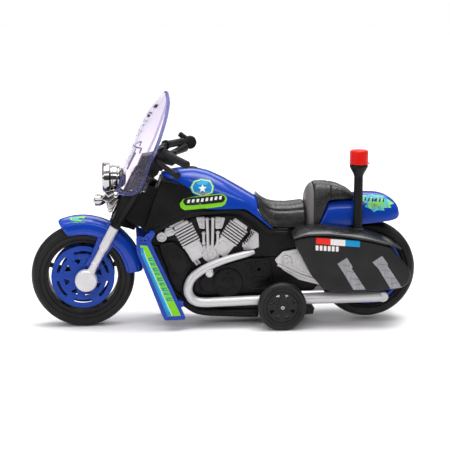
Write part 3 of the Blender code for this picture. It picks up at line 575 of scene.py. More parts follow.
def clear(name, rgb, rough=0.03, ior=1.46, var=0.03, bump=0.02, milk=0.0, bloom=0.0):
    """Clear plastic with faint flow marks; milk is the share of light the plastic scatters."""
    m, nt, b = nodes_of(name)
    N, L = nt.nodes.new, nt.links.new
    b.inputs["Transmission Weight"].default_value = 1.0 - milk
    b.inputs["Sheen Weight"].default_value = bloom
    b.inputs["Sheen Roughness"].default_value = 0.6
    b.inputs["Sheen Tint"].default_value = (0.20, 0.25, 0.62, 1)
    b.inputs["IOR"].default_value = ior
    tc = N("ShaderNodeTexCoord")
    no = N("ShaderNodeTexNoise")
    no.inputs["Scale"].default_value = 60.0
    no.inputs["Detail"].default_value = 3
    L(tc.outputs["Object"], no.inputs["Vector"])
    mix = N("ShaderNodeMix")
    mix.data_type = "RGBA"
    mix.inputs[6].default_value = (*[c * (1 - var) for c in rgb], 1)
    mix.inputs[7].default_value = (*[min(1, c * (1 + var)) for c in rgb], 1)
    L(no.outputs["Fac"], mix.inputs[0])
    L(mix.outputs[2], b.inputs["Base Color"])
    mr = N("ShaderNodeMapRange")
    mr.inputs["To Min"].default_value = rough * 0.4
    mr.inputs["To Max"].default_value = rough * 1.8
    n2 = N("ShaderNodeTexNoise")
    n2.inputs["Scale"].default_value = 300.0
    L(tc.outputs["Object"], n2.inputs["Vector"])
    L(n2.outputs["Fac"], mr.inputs["Value"])
    L(mr.outputs["Result"], b.inputs["Roughness"])
    bp = N("ShaderNodeBump")
    bp.inputs["Strength"].default_value = bump
    bp.inputs["Distance"].default_value = 0.0002
    L(no.outputs["Fac"], bp.inputs["Height"])
    L(bp.outputs["Normal"], b.inputs["Normal"])
    return m


def ink(name, rgb, rough=0.32, other=None, mode=None, scale=700.0):
    """A printed film, with a little print mottle. other and mode give a two-colour brush pattern."""
    m, nt, b = nodes_of(name)
    N, L = nt.nodes.new, nt.links.new
    b.inputs["Specular IOR Level"].default_value = 0.2
    tc = N("ShaderNodeTexCoord")
    src = tc.outputs["Object"]
    no = N("ShaderNodeTexNoise")
    no.inputs["Scale"].default_value = scale
    no.inputs["Detail"].default_value = 3
    vec = src
    if mode == "scratch":
        mp = N("ShaderNodeMapping")
        mp.inputs["Scale"].default_value = (3.0, 1.0, 0.35)
        mp.inputs["Rotation"].default_value = (0, 0.6, 0)
        L(src, mp.inputs["Vector"])
        vec = mp.outputs["Vector"]
    L(vec, no.inputs["Vector"])
    mr = N("ShaderNodeMapRange")
    mr.inputs["From Min"].default_value = 0.35
    mr.inputs["From Max"].default_value = 0.65
    L(no.outputs["Fac"], mr.inputs["Value"])
    mix = N("ShaderNodeMix")
    mix.data_type = "RGBA"
    second = other or [min(1, c * 1.06 + 0.004) for c in rgb]
    mix.inputs[6].default_value = (*rgb, 1)
    mix.inputs[7].default_value = (*second, 1)
    L(mr.outputs["Result"], mix.inputs[0])
    L(mix.outputs[2], b.inputs["Base Color"])
    rr = N("ShaderNodeMapRange")
    rr.inputs["To Min"].default_value = max(0.05, rough - 0.08)
    rr.inputs["To Max"].default_value = rough + 0.1
    L(no.outputs["Fac"], rr.inputs["Value"])
    L(rr.outputs["Result"], b.inputs["Roughness"])
    bp = N("ShaderNodeBump")
    bp.inputs["Strength"].default_value = 0.12 if mode else 0.05
    bp.inputs["Distance"].default_value = 0.00004
    L(no.outputs["Fac"], bp.inputs["Height"])
    L(bp.outputs["Normal"], b.inputs["Normal"])
    return m


BLUE = plastic("blue_gloss", (0.0030, 0.041, 0.345), rough=0.20, rvar=0.05, var=0.05, bump=0.05, grain=1500, depth=0.00003,
               coat=0.26, coat_rough=0.05, scuff=0.10, spec=0.20)
BLUE_DISC = plastic("blue_disc", (0.005, 0.042, 0.30), rough=0.34, rvar=0.08, var=0.06, bump=0.08, scuff=0.12, spec=0.2)
BLACK = plastic("black_satin", (0.0045, 0.0041, 0.0043), rough=0.34, rvar=0.09, var=0.14, bump=0.22, grain=3200, depth=0.00003,
                scuff=0.14, spec=0.13)
BLACK_MATT = plastic("black_matt", (0.0062, 0.0060, 0.0064), rough=0.46, rvar=0.10, var=0.16, bump=0.35, grain=3600,
                     depth=0.00004, scuff=0.10, spec=0.16)
BLACK_BAG = plastic("black_bag", (0.0115, 0.0112, 0.0114), rough=0.36, rvar=0.07, var=0.12, bump=0.40, grain=4200,
                    depth=0.00004, scuff=0.10, spec=0.18)
BLACK_LID = plastic("black_lid", (0.0085, 0.0083, 0.0085), rough=0.26, rvar=0.06, var=0.10, bump=0.25, grain=3600,
                    depth=0.00003, scuff=0.10, spec=0.48)
TYRE = plastic("tyre_rubber", (0.0075, 0.0070, 0.0074), rough=0.42, rvar=0.12, var=0.20, bump=0.3, grain=2400, depth=0.00005,
               scuff=0.15, spec=0.18)
SEAT = plastic("seat_grain", (0.0115, 0.0110, 0.0118), rough=0.30, rvar=0.10, var=0.18, bump=0.2, grain=4200, depth=0.00004,
               cells=0.55, cell_scale=1500.0, spec=0.42)
# the pad's front face: the smooth finish is its own, its light grey is painted light falling from the front
PAD_FACE_PAINTED_LIGHT = plastic("pad_face_smooth_painted_light", (0.135, 0.125, 0.130), rough=0.40, rvar=0.06, var=0.06, bump=0.10, grain=3000,
                   depth=0.00003, spec=0.3)
SILVER = plastic("silver_paint", (0.52, 0.51, 0.515), rough=0.36, metallic=0.40, rvar=0.08, var=0.05, bump=0.14, grain=3600,
                 depth=0.00004, flake=0.04, scuff=0.06)
SWING = plastic("silver_plate", (0.52, 0.51, 0.51), rough=0.34, metallic=0.45, rvar=0.08, var=0.05, bump=0.12, grain=3200,
                depth=0.00004, flake=0.03, scuff=0.08)
PIPE = plastic("pipe_silver", (0.53, 0.52, 0.53), rough=0.34, metallic=0.35, rvar=0.05, var=0.03, bump=0.05, grain=3600,
               depth=0.00002, streak=(0.4, 1.0, 1.0))
PALE = plastic("hub_silver", (0.60, 0.585, 0.605), rough=0.40, metallic=0.30, rvar=0.06, var=0.05, bump=0.2, grain=3200,
               depth=0.00005, flake=0.05)
CHROME = plastic("chrome_plating", (0.45, 0.435, 0.43), rough=0.09, metallic=1.0, rvar=0.04, var=0.04, bump=0.06, grain=700,
                 depth=0.00006, scuff=0.10)
STEEL = plastic("steel_pin", (0.42, 0.41, 0.40), rough=0.28, metallic=1.0, rvar=0.08, var=0.06, bump=0.10,
                streak=(1.0, 0.15, 1.0))
STEEL_DARK = plastic("steel_oiled", (0.05, 0.05, 0.05), rough=0.34, metallic=0.8, rvar=0.08, var=0.08, bump=0.10,
                     streak=(1.0, 0.15, 1.0))
GEAR = plastic("gear_white", (0.62, 0.60, 0.55), rough=0.38, rvar=0.07, var=0.05, bump=0.10)
RED = plastic("red_cap", (0.66, 0.0065, 0.0025), rough=0.36, rvar=0.07, var=0.07, bump=0.14, grain=2800, depth=0.00004, spec=0.18)
GLASS = clear("clear_violet", (0.885, 0.845, 0.910), rough=0.03, ior=1.05, milk=0.02, bloom=0.10)
# the near (left) and far (right) borders are one clear moulding; the near one is coloured dark blue and the far one
# paler, both darker than the screen: painted shade
GLASS_EDGE_SHADED = clear("clear_violet_edge_painted_shade", (0.27, 0.28, 0.50), rough=0.08, ior=1.06, milk=0.14, bloom=0.25)
GLASS_FAR_EDGE_SHADED = clear("clear_violet_far_edge_painted_shade", (0.68, 0.67, 0.80), rough=0.08, ior=1.04, milk=0.03, bloom=0.10)
GLASS_RAIL = clear("clear_violet_rail", (0.20, 0.18, 0.25), rough=0.08, ior=1.06, milk=0.12, bloom=0.1)
LENS = clear("clear_lens", (0.80, 0.79, 0.80), rough=0.05, ior=1.40, milk=0.04)
BULB = plastic("bulb_red", (0.70, 0.03, 0.02), rough=0.2, bump=0.05)
LIME = ink("print_lime", (0.180, 0.52, 0.013))
CYAN = ink("print_cyan", (0.003, 0.205, 0.46))
SKY = ink("print_sky", (0.035, 0.36, 0.60))
WHITE = ink("print_white", (0.72, 0.72, 0.72))
PRINT_BLACK = ink("print_black", (0.008, 0.008, 0.008))
TEAL = ink("print_teal", (0.006, 0.27, 0.22))
PRINT_GREY = ink("print_grey", (0.20, 0.20, 0.21))
BAND_RED = ink("band_red", (0.70, 0.020, 0.010))
BAND_WHITE = ink("band_white", (0.70, 0.66, 0.64))
BAND_BLUE = ink("band_blue", (0.003, 0.235, 0.50))
FOIL = ink("strap_foil", (0.30, 0.30, 0.315), other=(0.22, 0.22, 0.235), mode="scratch", scale=420.0, rough=0.35)
FOIL_LINE = ink("strap_line", (0.13, 0.13, 0.14))
BRUSH = ink("brush_print", (0.01, 0.32, 0.62), other=(0.28, 0.66, 0.10), mode="scratch", scale=210.0)

# ================================================================ the steering line

D = Vector((0.4745, 0.0, 0.8803)).normalized()
N = Vector((D.z, 0.0, -D.x))
LEG0 = Vector((1.9, 0.0, 27.3))
STEER0 = LEG0 + D * 38.9 + N * 7.4
NECK = 22.6
S_LOW = 33.4
FW = (0.0, 0.0, 28.2)
RW = (156.8, 0.0, 29.5)
GA = (107.4, 13.2)


def leg(s, y=0.0, off=0.0):
    p = LEG0 + D * s + N * off
    return Vector((p.x, y, p.z))


def stem(s, off=0.0, y=0.0):
    p = STEER0 + D * s + N * off
    return Vector((p.x, y, p.z))


def st(s, off):
    p = stem(s, off)
    return (p.x, p.z)


def both(ob, left, right, body, mat, replaces=None, sharp=38, tree=False):
    """A left-hand piece and its mirror image."""
    other = twin(ob)
    a = piece(ob, left, body, mat, (replaces[0],) if replaces else (), sharp, tree)
    b = piece(other, right, body, mat, (replaces[1],) if replaces else (), sharp, tree)
    return a, b


# ================================================================ tank, seat, pillion pad, rear fender

TANK_LOW = [(43.2, 83.4), (47.6, 81.5), (54.0, 79.6), (58.1, 76.8), (62.0, 71.0), (66.2, 66.6), (70.0, 66.0), (82.0, 66.0),
            (86.9, 65.9), (93.6, 61.8), (97.8, 58.4), (102.5, 54.5)]
TANK_TOP = [(43.2, 84.3), (45.3, 85.0), (50.8, 86.3), (58.9, 86.9), (67.1, 85.4), (75.3, 82.0), (83.5, 77.4), (90.6, 73.2),
            (94.6, 70.8)]
TANK_HALF = [(43.2, 5.0), (47.0, 8.6), (52.0, 11.4), (58.0, 13.2), (66.0, 14.2), (76.0, 14.6), (86.0, 14.0), (94.6, 13.2),
             (102.5, 12.8)]
SEAT_LOW = [(95.0, 65.0), (97.8, 60.6), (102.5, 56.4), (106.0, 55.3), (112.3, 55.0), (121.0, 55.0)]

rings = []
for i, x in enumerate(ramp(43.2, 94.6, 86)):
    r = arch(x, smooth(TANK_LOW, x), smooth(TANK_TOP, x), smooth(TANK_HALF, x), 57, 2.9)
    if i == 0:
        c = Vector((x, 0, (smooth(TANK_LOW, x) + smooth(TANK_TOP, x)) / 2))
        rings.append([tuple(c.lerp(Vector(p), 0.86)) for p in r])
        r = [(x + 0.25, y, z) for _, y, z in r]
    rings.append(r)
for i, x in enumerate(ramp(94.62, 102.4, 22)):
    half = smooth(TANK_HALF, x) - (0.3 if x > 102.2 else 0)
    rings.append(arch(x, smooth(TANK_LOW, x), smooth(SEAT_LOW, x) - 0.35, half, 57, 8.0))
tank = loft(rings)
cut(tank, lathe([(0, -1.2), (4.3, -1.2), (4.3, 3.0), (0, 3.0)], 48, (59.1, 0, 86.0), (0, 0, 1)))
piece(tank, "tank_shell", "chassis", BLUE, ("tank_cover",), 40, tree=True)

cap = turned([(0, -0.85), (3.9, -0.85), (3.9, 0.75), (3.3, 1.15), (2.4, 1.15), (2.2, 0.85), (0, 0.85)], 48, (59.1, 0, 86.0),
             (0, 0, 1), 0.2)
grip = plate(fillet([(56.6, 86.5), (61.6, 86.5), (61.2, 87.15), (57.0, 87.15)], 0.2, 2), -0.55, 0.55, 0.15)
piece(joined(cap, grip), "fuel_cap_turned", "chassis", BLACK_MATT, ("fuel_cap",))

SEAT_TOP = [(95.0, 73.0), (98.4, 70.0), (102.8, 68.0), (107.0, 67.4), (111.1, 67.3), (115.5, 67.7), (120.9, 68.3)]
SEAT_HALF = [(95.0, 12.8), (103.0, 12.6), (112.3, 11.2), (120.9, 11.0)]


def cushion(xs, low, top, half, power, creases, n=65, ends=1.2):
    """A moulded cushion: an arched section with pressed-in rolls along it and rounded ends."""
    out = []
    x0, x1 = xs[0], xs[-1]
    for x in xs:
        lo, tp, hf = smooth(low, x), smooth(top, x), smooth(half, x)
        e = min(x - x0, x1 - x)
        pull = 0.0 if e >= ends else (1 - math.sqrt(max(0.0, 1 - ((ends - e) / ends) ** 2))) * ends * 0.6
        ring = []
        for (px, y, z) in arch(x, lo, tp - pull, hf - pull, n, power):
            q = (z - lo) / max(tp - lo, 1e-3)
            dent = 0.0
            for at, width, depth in creases:
                dent += depth * math.exp(-((q - at) / width) ** 2)
            f = 1 - dent / max(abs(y) if abs(y) > 3 else 1e9, 3)
            ring.append((px, y * f, z))
        out.append(ring)
    return loft(out)


seat = cushion(ramp(95.0, 120.9, 60), SEAT_LOW, SEAT_TOP, SEAT_HALF, 3.0, [(0.70, 0.055, 0.75), (0.16, 0.05, 0.35)], ends=1.0)
piece(seat, "rider_seat", "chassis", SEAT, ("seat",), 50)

PAD_TOP = [(121.3, 69.0), (121.8, 72.0), (123.2, 75.2), (125.4, 77.6), (128.0, 78.6), (133.0, 78.4), (138.7, 77.4),
           (143.5, 75.4), (147.2, 72.9), (148.2, 71.0)]
PAD_LOW = [(121.3, 55.2), (127.9, 55.4), (133.2, 69.2), (136.0, 69.8), (148.2, 70.2)]
PAD_HALF = [(121.3, 5.4), (121.8, 7.2), (123.2, 9.4), (125.4, 10.7), (127.9, 11.0), (140.0, 10.6), (148.2, 9.0)]
xs = ramp(121.3, 124.5, 14)[:-1] + ramp(124.5, 148.2, 70)
out = []
for x in xs:
    lo, tp, hf = value(PAD_LOW, x), smooth(PAD_TOP, x), smooth(PAD_HALF, x)
    groove = 0.42 * math.exp(-((x - 135.2) / 0.38) ** 2) + 0.30 * math.exp(-((x - 125.9) / 0.26) ** 2)
    e = min(x - xs[0], xs[-1] - x)
    pull = 0.0 if e > 0.8 else (1 - math.sqrt(max(0.0, 1 - ((0.8 - e) / 0.8) ** 2))) * 0.5
    out.append([(px, y * (1 - (groove + pull) / hf), lo + (z - lo) * (1 - (groove + pull) / max(tp - lo, 2.0)))
                for px, y, z in arch(x, lo, tp, hf, 65, 3.4)])
front_rows = [q for q in out if q[0][0] <= 125.75]
rear_rows = [q for q in out if q[0][0] >= 125.75]
seam_row = [(125.75, y * 0.975, 55.3 + (z - 55.3) * 0.985) for _, y, z in front_rows[-1]]
# the lighter grey front face of the pad is painted light; the grained backrest behind it keeps the pad's own black
piece(loft(front_rows + [seam_row]), "pillion_front_face", "chassis", PAD_FACE_PAINTED_LIGHT, ("pillion_pad",), 50)
piece(loft([[(125.9, y, z) for _, y, z in seam_row]] + rear_rows), "pillion_backrest", "chassis", SEAT,
      ("pillion_pad",), 50, tree=True)

FEN_TOP = [(128.6, 56.4), (133.5, 68.7), (136.0, 69.4), (148.4, 69.8), (148.8, 71.6), (154.0, 72.2), (161.1, 71.9),
           (165.4, 71.0), (168.7, 69.5), (171.2, 67.4), (172.8, 65.0), (173.5, 62.2)]
FEN_LOW = [(128.6, 55.2), (142.7, 55.4), (153.8, 56.2), (162.0, 57.0), (168.4, 57.8), (171.6, 58.7), (173.5, 60.4)]
FEN_HALF = [(128.6, 10.9), (160.0, 11.0), (167.4, 10.6), (171.4, 9.4), (173.5, 7.8)]
xs = ramp(128.6, 133.3, 10)[:-1] + [133.3, 133.5, 133.8, 134.2] + ramp(135.0, 148.2, 22) + [148.4, 148.6, 148.8, 149.2] \
    + ramp(150.0, 168.0, 34) + ramp(168.3, 173.5, 26)
out = []
for x in xs:
    lo, hf = smooth(FEN_LOW, x), smooth(FEN_HALF, x)
    tp = value(FEN_TOP, x) if x < 149 else smooth(FEN_TOP[4:], x)
    e = 173.5 - x
    pull = 0.0 if e > 1.2 else (1 - math.sqrt(max(0.0, 1 - ((1.2 - e) / 1.2) ** 2))) * 0.9
    out.append(arch(x, lo + pull * 0.5, tp - pull, hf - pull, 61, 3.6))
rear = loft(out)
cut(rear, prism([(135.5, 50.0), (136.5, 66.8), (150.0, 67.6), (158.0, 69.4), (164.4, 68.4), (168.4, 65.9), (170.6, 63.0),
                 (171.2, 50.0)], -9.2, 9.2))
piece(rear, "tail_fender", "chassis", BLUE, ("rear_fender",), 32, tree=True)

# ================================================================ body halves

body_outline = [st(NECK, -4.5), st(NECK, 4.5), (42.8, 82.0)]
body_outline += [(x, z - 0.4) for x, z in TANK_LOW[1:]]
body_outline += [(103.4, 54.1), (104.4, 54.7), (120.6, 54.6), (127.4, 54.5), (131.8, 51.2), (128.4, 44.5), (126.8, 38.2),
                 (96.2, 38.2), (96.2, 6.2), (76.0, 6.4), (63.0, 7.8), (56.6, 11.2), (50.8, 16.2), (46.1, 22.8), (41.5, 36.0),
                 (38.5, 46.5),
                 (36.6, 51.3), (31.8, 55.6), st(0, 4.5), st(0, -4.5)]
radius = [0.8] * len(body_outline)
half_body = plate(fillet(body_outline, 2.0, 4), -8.0, -0.15, 0.35)
cut(half_body, prism(fillet([(45.0, 55.0), (56.0, 62.0), (66.0, 63.6), (88.0, 63.6), (96.0, 56.0), (101.0, 51.5),
                             (123.0, 50.5), (123.0, 40.6), (94.0, 40.6), (94.0, 9.0), (66.0, 9.0), (57.0, 14.0),
                             (51.0, 23.0), (46.5, 36.0)], 1.5, 4), -6.2, 0.2))
cut(half_body, prism([(44.5, 79.2), (53.0, 76.6), (56.5, 74.0), (60.5, 68.0), (62.0, 65.2), (56.0, 64.0), (43.5, 58.5),
                      (43.5, 70.0)], -6.2, 0.2))
cut(half_body, rod(stem(-3), stem(NECK + 3), 2.7, 40))
cut(half_body, rod((107.4, -20, 13.2), (107.4, 5, 13.2), 1.9, 32))
inner_left = half_body
inner_right = twin(half_body)
for x, z in ((64.0, 11.0), (118.0, 46.0)):
    cut(inner_right, rod((x, 7.0, z), (x, 9.0, z), 2.3, 32))

side_panel = [(42.9, 82.2)] + [(x, z - 0.4) for x, z in TANK_LOW[1:]]
side_panel += [(103.4, 54.1), (104.4, 54.7), (112.3, 54.6), (111.8, 50.8), (101.5, 51.4), (96.0, 55.6), (91.8, 59.4), (85.6, 63.0), (77.7, 63.4), (66.0, 62.8),
               (55.5, 60.6), (37.0, 51.9), (33.6, 55.2), (38.6, 70.0)]
skin = plate(fillet(side_panel, 1.6, 4), -12.4, -7.0, 0.45, res=3)
# the moulded rib that follows the lower edge of the panel
RIB = [(36.4, 53.3), (43.0, 56.5), (50.0, 59.9), (55.8, 62.3), (61.0, 63.6), (66.5, 64.3), (77.9, 64.8), (86.2, 64.4),
       (92.6, 60.9), (97.0, 57.1), (102.2, 53.0), (111.0, 52.3)]
rib = tube([(x, -12.25, z) for x, z in curve2(RIB, 5)], 0.75, 14)
groove = tube([(x, -12.55, z + 1.35) for x, z in curve2([(38.6, 55.6), (50.0, 60.9), (60.2, 64.3), (66.0, 64.9)], 5)], 0.28, 8)
cut(skin, groove)
LOWER = [(39.2, 45.0), (42.9, 34.8), (46.8, 23.9), (51.4, 17.2), (56.6, 12.6), (63.2, 8.8), (75.0, 7.5), (95.6, 6.6)]
low_tube = tube([(x, -8.3, z) for x, z in curve2(LOWER, 8)], 2.4, 28)
left_all = joined(inner_left, skin, rib, low_tube)
right_parts = joined(inner_right, twin(plate(fillet(side_panel, 1.6, 4), -12.4, -7.0, 0.45, res=3)),
                     twin(tube([(x, -12.25, z) for x, z in curve2(RIB, 5)], 0.75, 14)),
                     twin(tube([(x, -8.3, z) for x, z in curve2(LOWER, 8)], 2.4, 28)))
for o in [o for o in SCENE.objects if o.name.startswith("o") and o.data and not o.data.materials
          and o not in (left_all, right_parts)]:
    bpy.data.objects.remove(o, do_unlink=True)
piece(left_all, "frame_half_left", "chassis", BLACK, ("body_left",), 40, tree=True)
piece(right_parts, "frame_half_right", "chassis", BLACK, ("body_right",), 40, tree=True)

# ================================================================ engine

ENG = []
# Dark matt pieces set behind and between the silver parts: partly the black moulding behind the casting, partly painted
# shade standing in for the shadow in the engine's recesses.
BACKING_AND_SHADE = []


def cylinder(base, tip, w0, w1, y_out, y_in, count=7):
    """A finned barrel seen from the side: a plain skirt, then fins, then a head."""
    b, t = Vector((base[0], 0, base[1])), Vector((tip[0], 0, tip[1]))
    d = (t - b).normalized()
    n = Vector((d.z, 0, -d.x))
    length = (t - b).length
    parts = []

    def slab(s0, s1, wa, wb, ya, yb, bev):
        pts = [b + d * s0 - n * wa, b + d * s0 + n * wa, b + d * s1 + n * wb, b + d * s1 - n * wb]
        return plate(fillet([(p.x, p.z) for p in pts], 0.35, 3), ya, yb, bev)
    parts.append(slab(0, length * 0.44, w0 - 0.1, w0 + 0.2, y_out + 0.15, y_in, 0.4))
    # a dark core behind the fins: painted shade in the gaps between them
    BACKING_AND_SHADE.append(slab(length * 0.40, length * 0.90, w0 - 0.7, w1 - 0.7, y_out + 0.8, y_in, 0.2))
    for k in range(count):
        s = length * (0.43 + 0.44 * k / (count - 1))
        w = w0 + (w1 - w0) * s / length + 0.45
        parts.append(slab(s - 0.47, s + 0.47, w, w, y_out, y_in, 0.26))
    parts.append(slab(length * 0.90, length * 1.0, w1 - 0.7, w1 - 1.3, y_out + 0.35, y_in, 0.4))
    # head bolts
    for q in (-0.6, 0.6):
        p = b + d * (length * 0.95) + n * (w1 * q)
        parts.append(turned([(0, y_out - 0.25), (0.75, y_out - 0.25), (0.75, y_out + 1.0), (0, y_out + 1.0)], 12, (p.x, 0, p.z),
                            (0, 1, 0), 0.15))
    # recess panel on the skirt
    mid = b + d * (length * 0.22)
    pts = [mid + d * (-length * 0.13) - n * (w0 * 0.62), mid + d * (-length * 0.13) + n * (w0 * 0.62),
           mid + d * (length * 0.13) + n * (w0 * 0.66), mid + d * (length * 0.13) - n * (w0 * 0.66)]
    parts.append(plate(fillet([(p.x, p.z) for p in pts], 0.6, 3), y_out - 0.12, y_out + 0.4, 0.15))
    return parts


# the dark base plate: the black moulding behind the casting, kept dark as painted shade around the silver parts
base = plate(fillet([(41.6, 50.0), (47.2, 54.8), (56.0, 59.6), (66.0, 61.6), (78.0, 61.8), (85.0, 61.0), (90.6, 57.2),
                     (96.0, 51.2), (96.2, 43.0), (90.0, 42.6), (78.0, 37.8), (66.0, 35.2), (61.0, 38.5), (55.0, 46.6),
                     (48.0, 48.6)], 1.0, 4), -9.1, -8.35, 0.25)
BACKING_AND_SHADE.append(base)
ENG += cylinder((63.4, 38.4), (53.0, 58.0), 4.4, 5.2, -11.35, -8.7)
ENG += cylinder((73.6, 40.8), (86.2, 58.0), 4.4, 5.4, -11.4, -8.7)
# push-rod tubes between the barrels, with collars
for x0, z0, x1, z1, r in ((68.0, 43.0, 67.5, 61.0, 0.85), (70.3, 43.0, 70.6, 61.0, 0.85), (65.6, 46.0, 65.5, 53.2, 0.8),
                          (73.2, 46.0, 73.3, 53.5, 0.8)):
    ENG.append(rod((x0, -10.6, z0), (x1, -10.6, z1), r, 20, b=0.2))
    ENG.append(rod((x0, -10.6, z0 + 0.4), (x0, -10.6, z0 + 1.3), r + 0.4, 20, b=0.15))
    ENG.append(rod((x1, -10.6, z1 - 1.4), (x1, -10.6, z1 - 0.5), r + 0.4, 20, b=0.15))
# rocker boxes left and right of the tubes, with cast pads
for pts in ([(61.4, 61.2), (66.3, 61.2), (66.3, 54.4), (63.4, 55.0)], [(71.9, 61.2), (77.4, 60.6), (75.6, 54.6), (71.9, 54.4)]):
    ENG.append(plate(fillet(pts, 0.7, 3), -10.3, -8.7, 0.3))
    cx = sum(p[0] for p in pts) / 4
    cz = sum(p[1] for p in pts) / 4
    for dx, dz, r in ((-1.2, 2.0, 0.55), (1.1, 2.0, 0.55), (-0.6, -0.2, 0.7), (1.0, -0.8, 0.5), (0.3, -2.3, 0.55), (0.0, 1.2, 0.4)):
        ENG.append(turned([(0, -10.75), (r, -10.75), (r + 0.1, -10.1), (0, -10.1)], 12, (cx + dx, 0, cz + dz), (0, 1, 0), 0.15))
    ENG.append(plate(fillet([(cx - 1.8, cz + 0.6), (cx + 1.7, cz + 0.6), (cx + 1.7, cz + 0.1), (cx - 1.8, cz + 0.1)], 0.1, 2),
                     -10.7, -10.1, 0.1))
# timing cover: stepped rings, ears and screws
at = (69.6, 0, 40.8)
ENG.append(turned([(0, -11.9), (0.9, -11.9), (1.1, -11.5), (2.0, -11.5), (2.2, -11.9), (2.9, -11.9), (3.1, -11.4), (3.9, -11.4),
                   (4.1, -11.0), (4.7, -11.0), (4.9, -9.0), (0, -9.0)], 48, at, (0, 1, 0), 0.15))
for x, z in ((64.6, 41.6), (75.2, 42.8), (66.0, 44.4), (73.3, 44.8)):
    ENG.append(turned([(0, -11.2), (0.6, -11.2), (0.7, -10.9), (1.25, -10.9), (1.35, -9.0), (0, -9.0)], 20, (x, 0, z),
                      (0, 1, 0), 0.12))
ENG.append(plate(fillet([(63.4, 42.4), (64.8, 40.2), (69.0, 38.0), (74.0, 41.4), (76.4, 42.4), (75.2, 44.2), (70.0, 45.4),
                         (65.0, 43.6)], 0.8, 3), -10.2, -8.7, 0.3))
# horn at the front with its stepped rim and bracket
at = (42.9, 0, 50.6)
ENG.append(turned([(0, -11.1), (0.9, -11.1), (1.1, -10.8), (1.7, -10.8), (1.8, -11.25), (2.6, -11.25), (2.8, -10.6), (2.7, -8.7),
                   (0, -8.7)], 32, at, (0, 1, 0), 0.15))
ENG.append(plate(fillet([(43.6, 51.2), (45.2, 55.6), (48.2, 55.6), (50.6, 53.2), (49.6, 51.6), (46.6, 50.6)], 0.5, 3), -10.5,
                 -8.7, 0.3))
ENG.append(plate(fillet([(45.0, 52.9), (49.4, 54.2), (49.2, 55.0), (44.9, 53.7)], 0.2, 2), -10.9, -10.2, 0.2))
ENG.append(plate(fillet([(46.6, 56.6), (54.6, 60.0), (55.2, 58.4), (47.4, 55.0)], 0.4, 3), -10.2, -8.7, 0.3))
ENG.append(turned([(0, -11.0), (0.9, -11.0), (1.0, -10.0), (0, -10.0)], 16, (48.6, 0, 52.4), (0, 1, 0), 0.2))
# slim tubes down the front of the crankcase
ENG.append(rod((54.6, -9.6, 45.6), (62.2, -9.6, 34.6), 0.8, 16, b=0.2))
ENG.append(rod((56.4, -9.9, 46.0), (63.6, -9.9, 35.4), 0.65, 16, b=0.2))
# carburettor block and spring behind the rear barrel
ENG.append(plate(fillet([(91.6, 54.2), (95.6, 51.6), (95.9, 44.0), (92.6, 42.6), (86.6, 42.4), (88.6, 45.6)], 0.8, 3), -9.9,
                 -8.7, 0.35))
ENG.append(plate(fillet([(86.4, 46.2), (88.8, 44.6), (90.4, 46.6), (88.6, 48.2)], 0.5, 3), -10.9, -9.0, 0.3))
ENG.append(turned([(0, -11.0), (1.0, -11.0), (1.15, -10.6), (1.15, -9.2), (0, -9.2)], 20, (87.6, 0, 45.0), (0, 1, 0), 0.15))
p0, p1 = Vector((92.4, -10.7, 52.6)), Vector((87.4, -10.7, 46.6))
u, v = frame_of(p1 - p0)
helix = []
for k in range(6 * 12 + 1):
    a = 2 * math.pi * k / 12
    helix.append(p0.lerp(p1, k / 72.0) + (u * math.cos(a) + v * math.sin(a)) * 0.80)
BACKING_AND_SHADE.append(tube(helix, 0.30, 8))
ENG.append(rod(tuple(p0), tuple(p1), 0.35, 10))
# one black matt piece per side: painted shade in the engine's recesses, on top of the black moulding behind them
both(joined(*BACKING_AND_SHADE), "engine_recess_shade_left", "engine_recess_shade_right", "chassis", BLACK_MATT,
     ("engine_left", "engine_right"), 36)
eng = joined(*ENG)
both(eng, "engine_casting_left", "engine_casting_right", "chassis", SILVER, ("engine_left", "engine_right"), 36)

# ================================================================ covers under the engine

parts = [plate(fillet([(60.0, 21.0), (61.2, 27.6), (66.0, 31.4), (78.0, 34.6), (90.0, 37.8), (101.8, 37.6), (103.0, 24.2),
                       (100.6, 19.0), (90.0, 18.4), (66.0, 17.8), (62.0, 18.6)], 1.6, 4), -10.6, -8.35, 0.5)]
parts.append(turned([(0, -11.5), (3.0, -11.5), (3.4, -11.25), (6.7, -11.25), (7.1, -11.6), (7.9, -11.6), (8.3, -11.0), (8.3, -9.0),
                     (0, -9.0)], 72, (78.6, 0, 24.6), (0, 1, 0), 0.2))
parts.append(turned([(0, -11.1), (4.4, -11.1), (5.4, -10.6), (5.5, -9.0), (0, -9.0)], 56, (68.2, 0, 24.4), (0, 1, 0), 0.4))
for a in range(3):
    t = math.radians(90 + 120 * a)
    parts.append(turned([(0, -11.75), (0.55, -11.75), (0.7, -11.2), (0, -11.2)], 14,
                        (78.6 + 5.1 * math.cos(t), 0, 24.6 + 5.1 * math.sin(t)), (0, 1, 0), 0.15))
parts.append(turned([(0, -11.0), (1.0, -11.0), (1.2, -10.8), (2.6, -10.8), (2.8, -11.35), (4.1, -11.35), (4.4, -10.9), (4.4, -9.0),
                     (0, -9.0)], 48, (95.8, 0, 31.8), (0, 1, 0), 0.2))
parts.append(plate(fillet([(88.4, 35.4), (101.0, 36.4), (101.9, 25.4), (89.6, 24.4)], 1.2, 4), -11.0, -9.0, 0.4))
for x, z in ((90.6, 34.2), (99.8, 34.9), (100.4, 27.0), (91.4, 26.2)):
    parts.append(turned([(0, -11.35), (0.7, -11.35), (0.8, -10.6), (0, -10.6)], 14, (x, 0, z), (0, 1, 0), 0.15))
parts.append(plate(fillet([(62.6, 19.4), (100.0, 20.0), (99.6, 21.4), (62.6, 20.6)], 0.3, 3), -11.0, -9.0, 0.3))
both(joined(*parts), "clutch_cover_left", "clutch_cover_right", "chassis", BLACK,
     ("crankcase_cover_left", "crankcase_cover_right"), 36)

